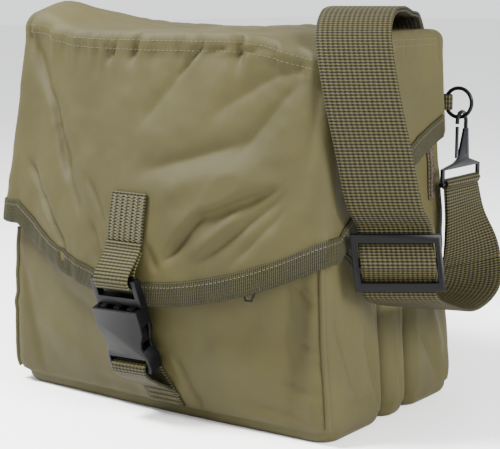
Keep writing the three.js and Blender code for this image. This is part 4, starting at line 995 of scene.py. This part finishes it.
def zip_fastener(name, places, normals, node):
    """A coil zip along a line on the cloth: a woven tape with two rows of coil turns that mesh along its middle."""
    along = np.gradient(places, axis=0)
    across = np.cross(normals, along)
    across /= np.linalg.norm(across, axis=1, keepdims=True)
    lifted = places + 0.55 * MM * normals
    laid(f"{name}_tape", lifted, across, 10.4 * MM, 0.7 * MM, zip_tape, "zip_coil", node)
    run = np.concatenate([[0], np.cumsum(np.linalg.norm(np.diff(lifted, axis=0), axis=1))])
    starts, ends, outs = [], [], []
    for side, shift in ((1, 0.0), (-1, 0.75 * MM)):
        at = np.arange(1 * MM + shift, run[-1] - 1 * MM, 1.5 * MM)
        spot, cross_, out = (np.stack([np.interp(at, run, v[:, k]) for k in range(3)], 1)
                             for v in (lifted, across, normals))
        spot = spot + 0.7 * MM * out
        starts.append(spot - side * 0.5 * MM * cross_)
        ends.append(spot + side * 2.4 * MM * cross_)
        outs.append(out)
    teeth = stitches(f"{name}_coil", *(np.concatenate(v) for v in (starts, ends, outs)), radius=0.55 * MM,
                     lift=0.3 * MM)
    dress(teeth, coil, "zip_coil")
    edge_rows = [sewn_along(lifted + side * 4.2 * MM * across + 0.4 * MM * normals, normals) for side in (1, -1)]
    sew(f"{name}_thread", edge_rows)


columns = np.arange(33, -183.5, -0.5)
side_share = np.where(columns > 8, (columns - 8) / 34, np.where(columns < -158, (-158 - columns) / 34, 0))
zip_y = -74 + 49 * side_share
fall = np.sqrt(np.clip(1 - ((zip_y + 80) / 42) ** 2, 0, 1))
zip_z = np.where(side_share > 0, 97 + 41 * fall, 138) * MM
zip_z = np.convolve(np.pad(zip_z, 6, mode="edge"), np.ones(13) / 13, "valid")
zip_places, zip_normals = on_cloth(front_points, grid_row(zip_z), columns)
zip_fastener("front_zipper", zip_places, zip_normals, "front_zipper")

rear_rows = np.concatenate([grid_row(np.linspace(153, 253, 60) * MM), np.linspace(102.4, 108, 14)])
rear_z = np.clip((rear_rows - 12) / 90 * (HEIGHT - SHOULDER_RADIUS - FOOT_HEIGHT) + FOOT_HEIGHT, 0, HEIGHT)
rear_start = REAR_SEAM + SEAM_GAP / 2 + CORNER_RADIUS
rear_share = (62 * MM - rear_start) / (HALF_DEPTH * section(4, rear_z) - CORNER_RADIUS - rear_start)
right_places, right_normals = on_cloth(rear_points, rear_rows, 8 + 34 * rear_share)
left_places, left_normals = on_cloth(rear_points, rear_rows, 242 - 34 * rear_share)
top_x = np.linspace(right_places[-1, 0], left_places[-1, 0], 60)[1:-1]
top_places = np.stack([top_x, np.linspace(right_places[-1, 1], left_places[-1, 1], 60)[1:-1], np.full(58, HEIGHT)], 1)
zip_fastener("rear_zipper", np.concatenate([right_places, top_places, left_places[::-1]]),
             np.concatenate([right_normals, np.tile([0.0, 0, 1], (58, 1)), left_normals[::-1]]), "rear_zipper")

# The binding's row of stitches, near its upper edge.
binding_line = lerp(binding_points[:, 1], binding_points[:, 2], 0.22)
binding_out = np.cross(np.gradient(binding_line, axis=0), binding_points[:, 1] - binding_points[:, 2])
binding_out /= np.linalg.norm(binding_out, axis=1, keepdims=True)
outward = np.sign((binding_out[:, :2] * binding_line[:, :2]).sum(1, keepdims=True))
binding_out = binding_out * outward
sew("flap_binding_thread", [sewn_along(binding_line, binding_out)])


# The flap's seam: two rows of stitches just below the ridge of its top, across the front and back along the sides.
seam_columns = np.concatenate([np.arange(215, flap_grid.shape[1]), np.arange(0, 64)])
seam_rows = []
for seam_row in (face_rows - 3, face_rows + 1):
    seam_rows.append(sewn_along(flap_grid[seam_row, seam_columns], flap_normals[seam_row, seam_columns], 2.6 * MM,
                                1.1 * MM))
sew("flap_seam_thread", seam_rows)


# Hard pieces
def rounded(node, name, material, slot, radius, segments=3, body="bag"):
    """A hard piece from its CAD solid: the node's triangles merged, its flats joined, and its edges rounded."""
    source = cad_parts[node]
    obj = bpy.data.objects.new(name, source.data.copy())
    bpy.context.scene.collection.objects.link(obj)
    work = bmesh.new()
    work.from_mesh(obj.data)
    bmesh.ops.remove_doubles(work, verts=work.verts, dist=1e-5)
    bmesh.ops.dissolve_limit(work, angle_limit=np.radians(3), verts=work.verts, edges=work.edges)
    work.to_mesh(obj.data)
    work.free()
    obj.data.polygons.foreach_set("use_smooth", [True] * len(obj.data.polygons))
    bevel = obj.modifiers.new("rounded_edges", "BEVEL")
    bevel.width = radius
    bevel.segments = segments
    bevel.limit_method = "ANGLE"
    bevel.angle_limit = np.radians(30)
    bevel.harden_normals = True
    return dress(obj, material, slot, node, body=body)


rounded("buckle_female", "buckle_body", plastic, "buckle_plastic", 1.1 * MM)
rounded("buckle_male", "buckle_latch", plastic, "buckle_plastic", 0.8 * MM)
rounded("strap_slider", "slider_frame", plastic, "buckle_plastic", 1.0 * MM)
for hand in ("right", "left"):
    rounded(f"hook_{hand}", f"snap_hook_{hand}", metal, "black_metal", 0.35 * MM, 2)
    rounded(f"hook_gate_{hand}", f"snap_gate_{hand}", metal, "black_metal", 0.3 * MM, 2, body=f"{hand}_gate")


def torus(name, centre, radius, wire_radius, count=64, sides=16):
    """A round ring: a circle of wire radius carried round one of ring radius, in the plane of X and Z."""
    u = 2 * np.pi * np.arange(count)[:, None] / count
    v = 2 * np.pi * np.arange(sides)[None, :] / sides
    flat = (radius + wire_radius * np.cos(v))
    parts = [flat * np.cos(u), wire_radius * np.sin(v) + 0 * u, flat * np.sin(u)]
    points = np.stack(parts, -1) + centre
    return tidy(mesh_object(name, points.reshape(-1, 3), quads(count, sides, True, True).tolist()))


for hand in ("right", "left"):
    low, high = (np.array(v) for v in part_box(f"ring_{hand}"))
    wire_radius = (high[1] - low[1]) / 2
    ring_obj = torus(f"round_ring_{hand}", (low + high) / 2, (high[0] - low[0]) / 2 - wire_radius, wire_radius)
    dress(ring_obj, metal, "black_metal", f"ring_{hand}")

for place in ("front", "side", "rear"):
    rounded(f"{place}_zip_slider", f"{place}_zip_runner", metal, "black_metal", 0.5 * MM, 2)
    rounded(f"{place}_zip_pull", f"{place}_zip_wire_loop", metal, "black_metal", 0.3 * MM, 2)

# Studio: a pale floor and soft lights.
floor_points = np.array([[-8, -8, 0], [8, -8, 0], [8, 12, 0], [-8, 12, 0]], float)
floor = mesh_object("floor", floor_points, [[0, 1, 2, 3]])
floor_material = new_material("pale_floor", 0xf2f2f0, 0.7)[0]
floor.data.materials.append(floor_material)

world = bpy.data.worlds.new("studio")
bpy.context.scene.world = world
world.use_nodes = True
world.node_tree.nodes["Background"].inputs[0].default_value = colour(0xf4f6f8)
world.node_tree.nodes["Background"].inputs[1].default_value = 1.6


def soft_light(name, place, aim, size, power):
    data = bpy.data.lights.new(name, "AREA")
    data.size = size
    data.energy = power
    light = bpy.data.objects.new(name, data)
    bpy.context.scene.collection.objects.link(light)
    direction = Vector(aim) - Vector(place)
    light.matrix_world = Matrix.Translation(place) @ direction.to_track_quat("-Z", "Y").to_matrix().to_4x4()


soft_light("key", (-0.38, -0.48, 1.1), (-0.11, -0.08, 0.29), 0.3, 62)
soft_light("fill", (1.6, -0.3, 0.9), (0, 0, 0.15), 0.7, 90)
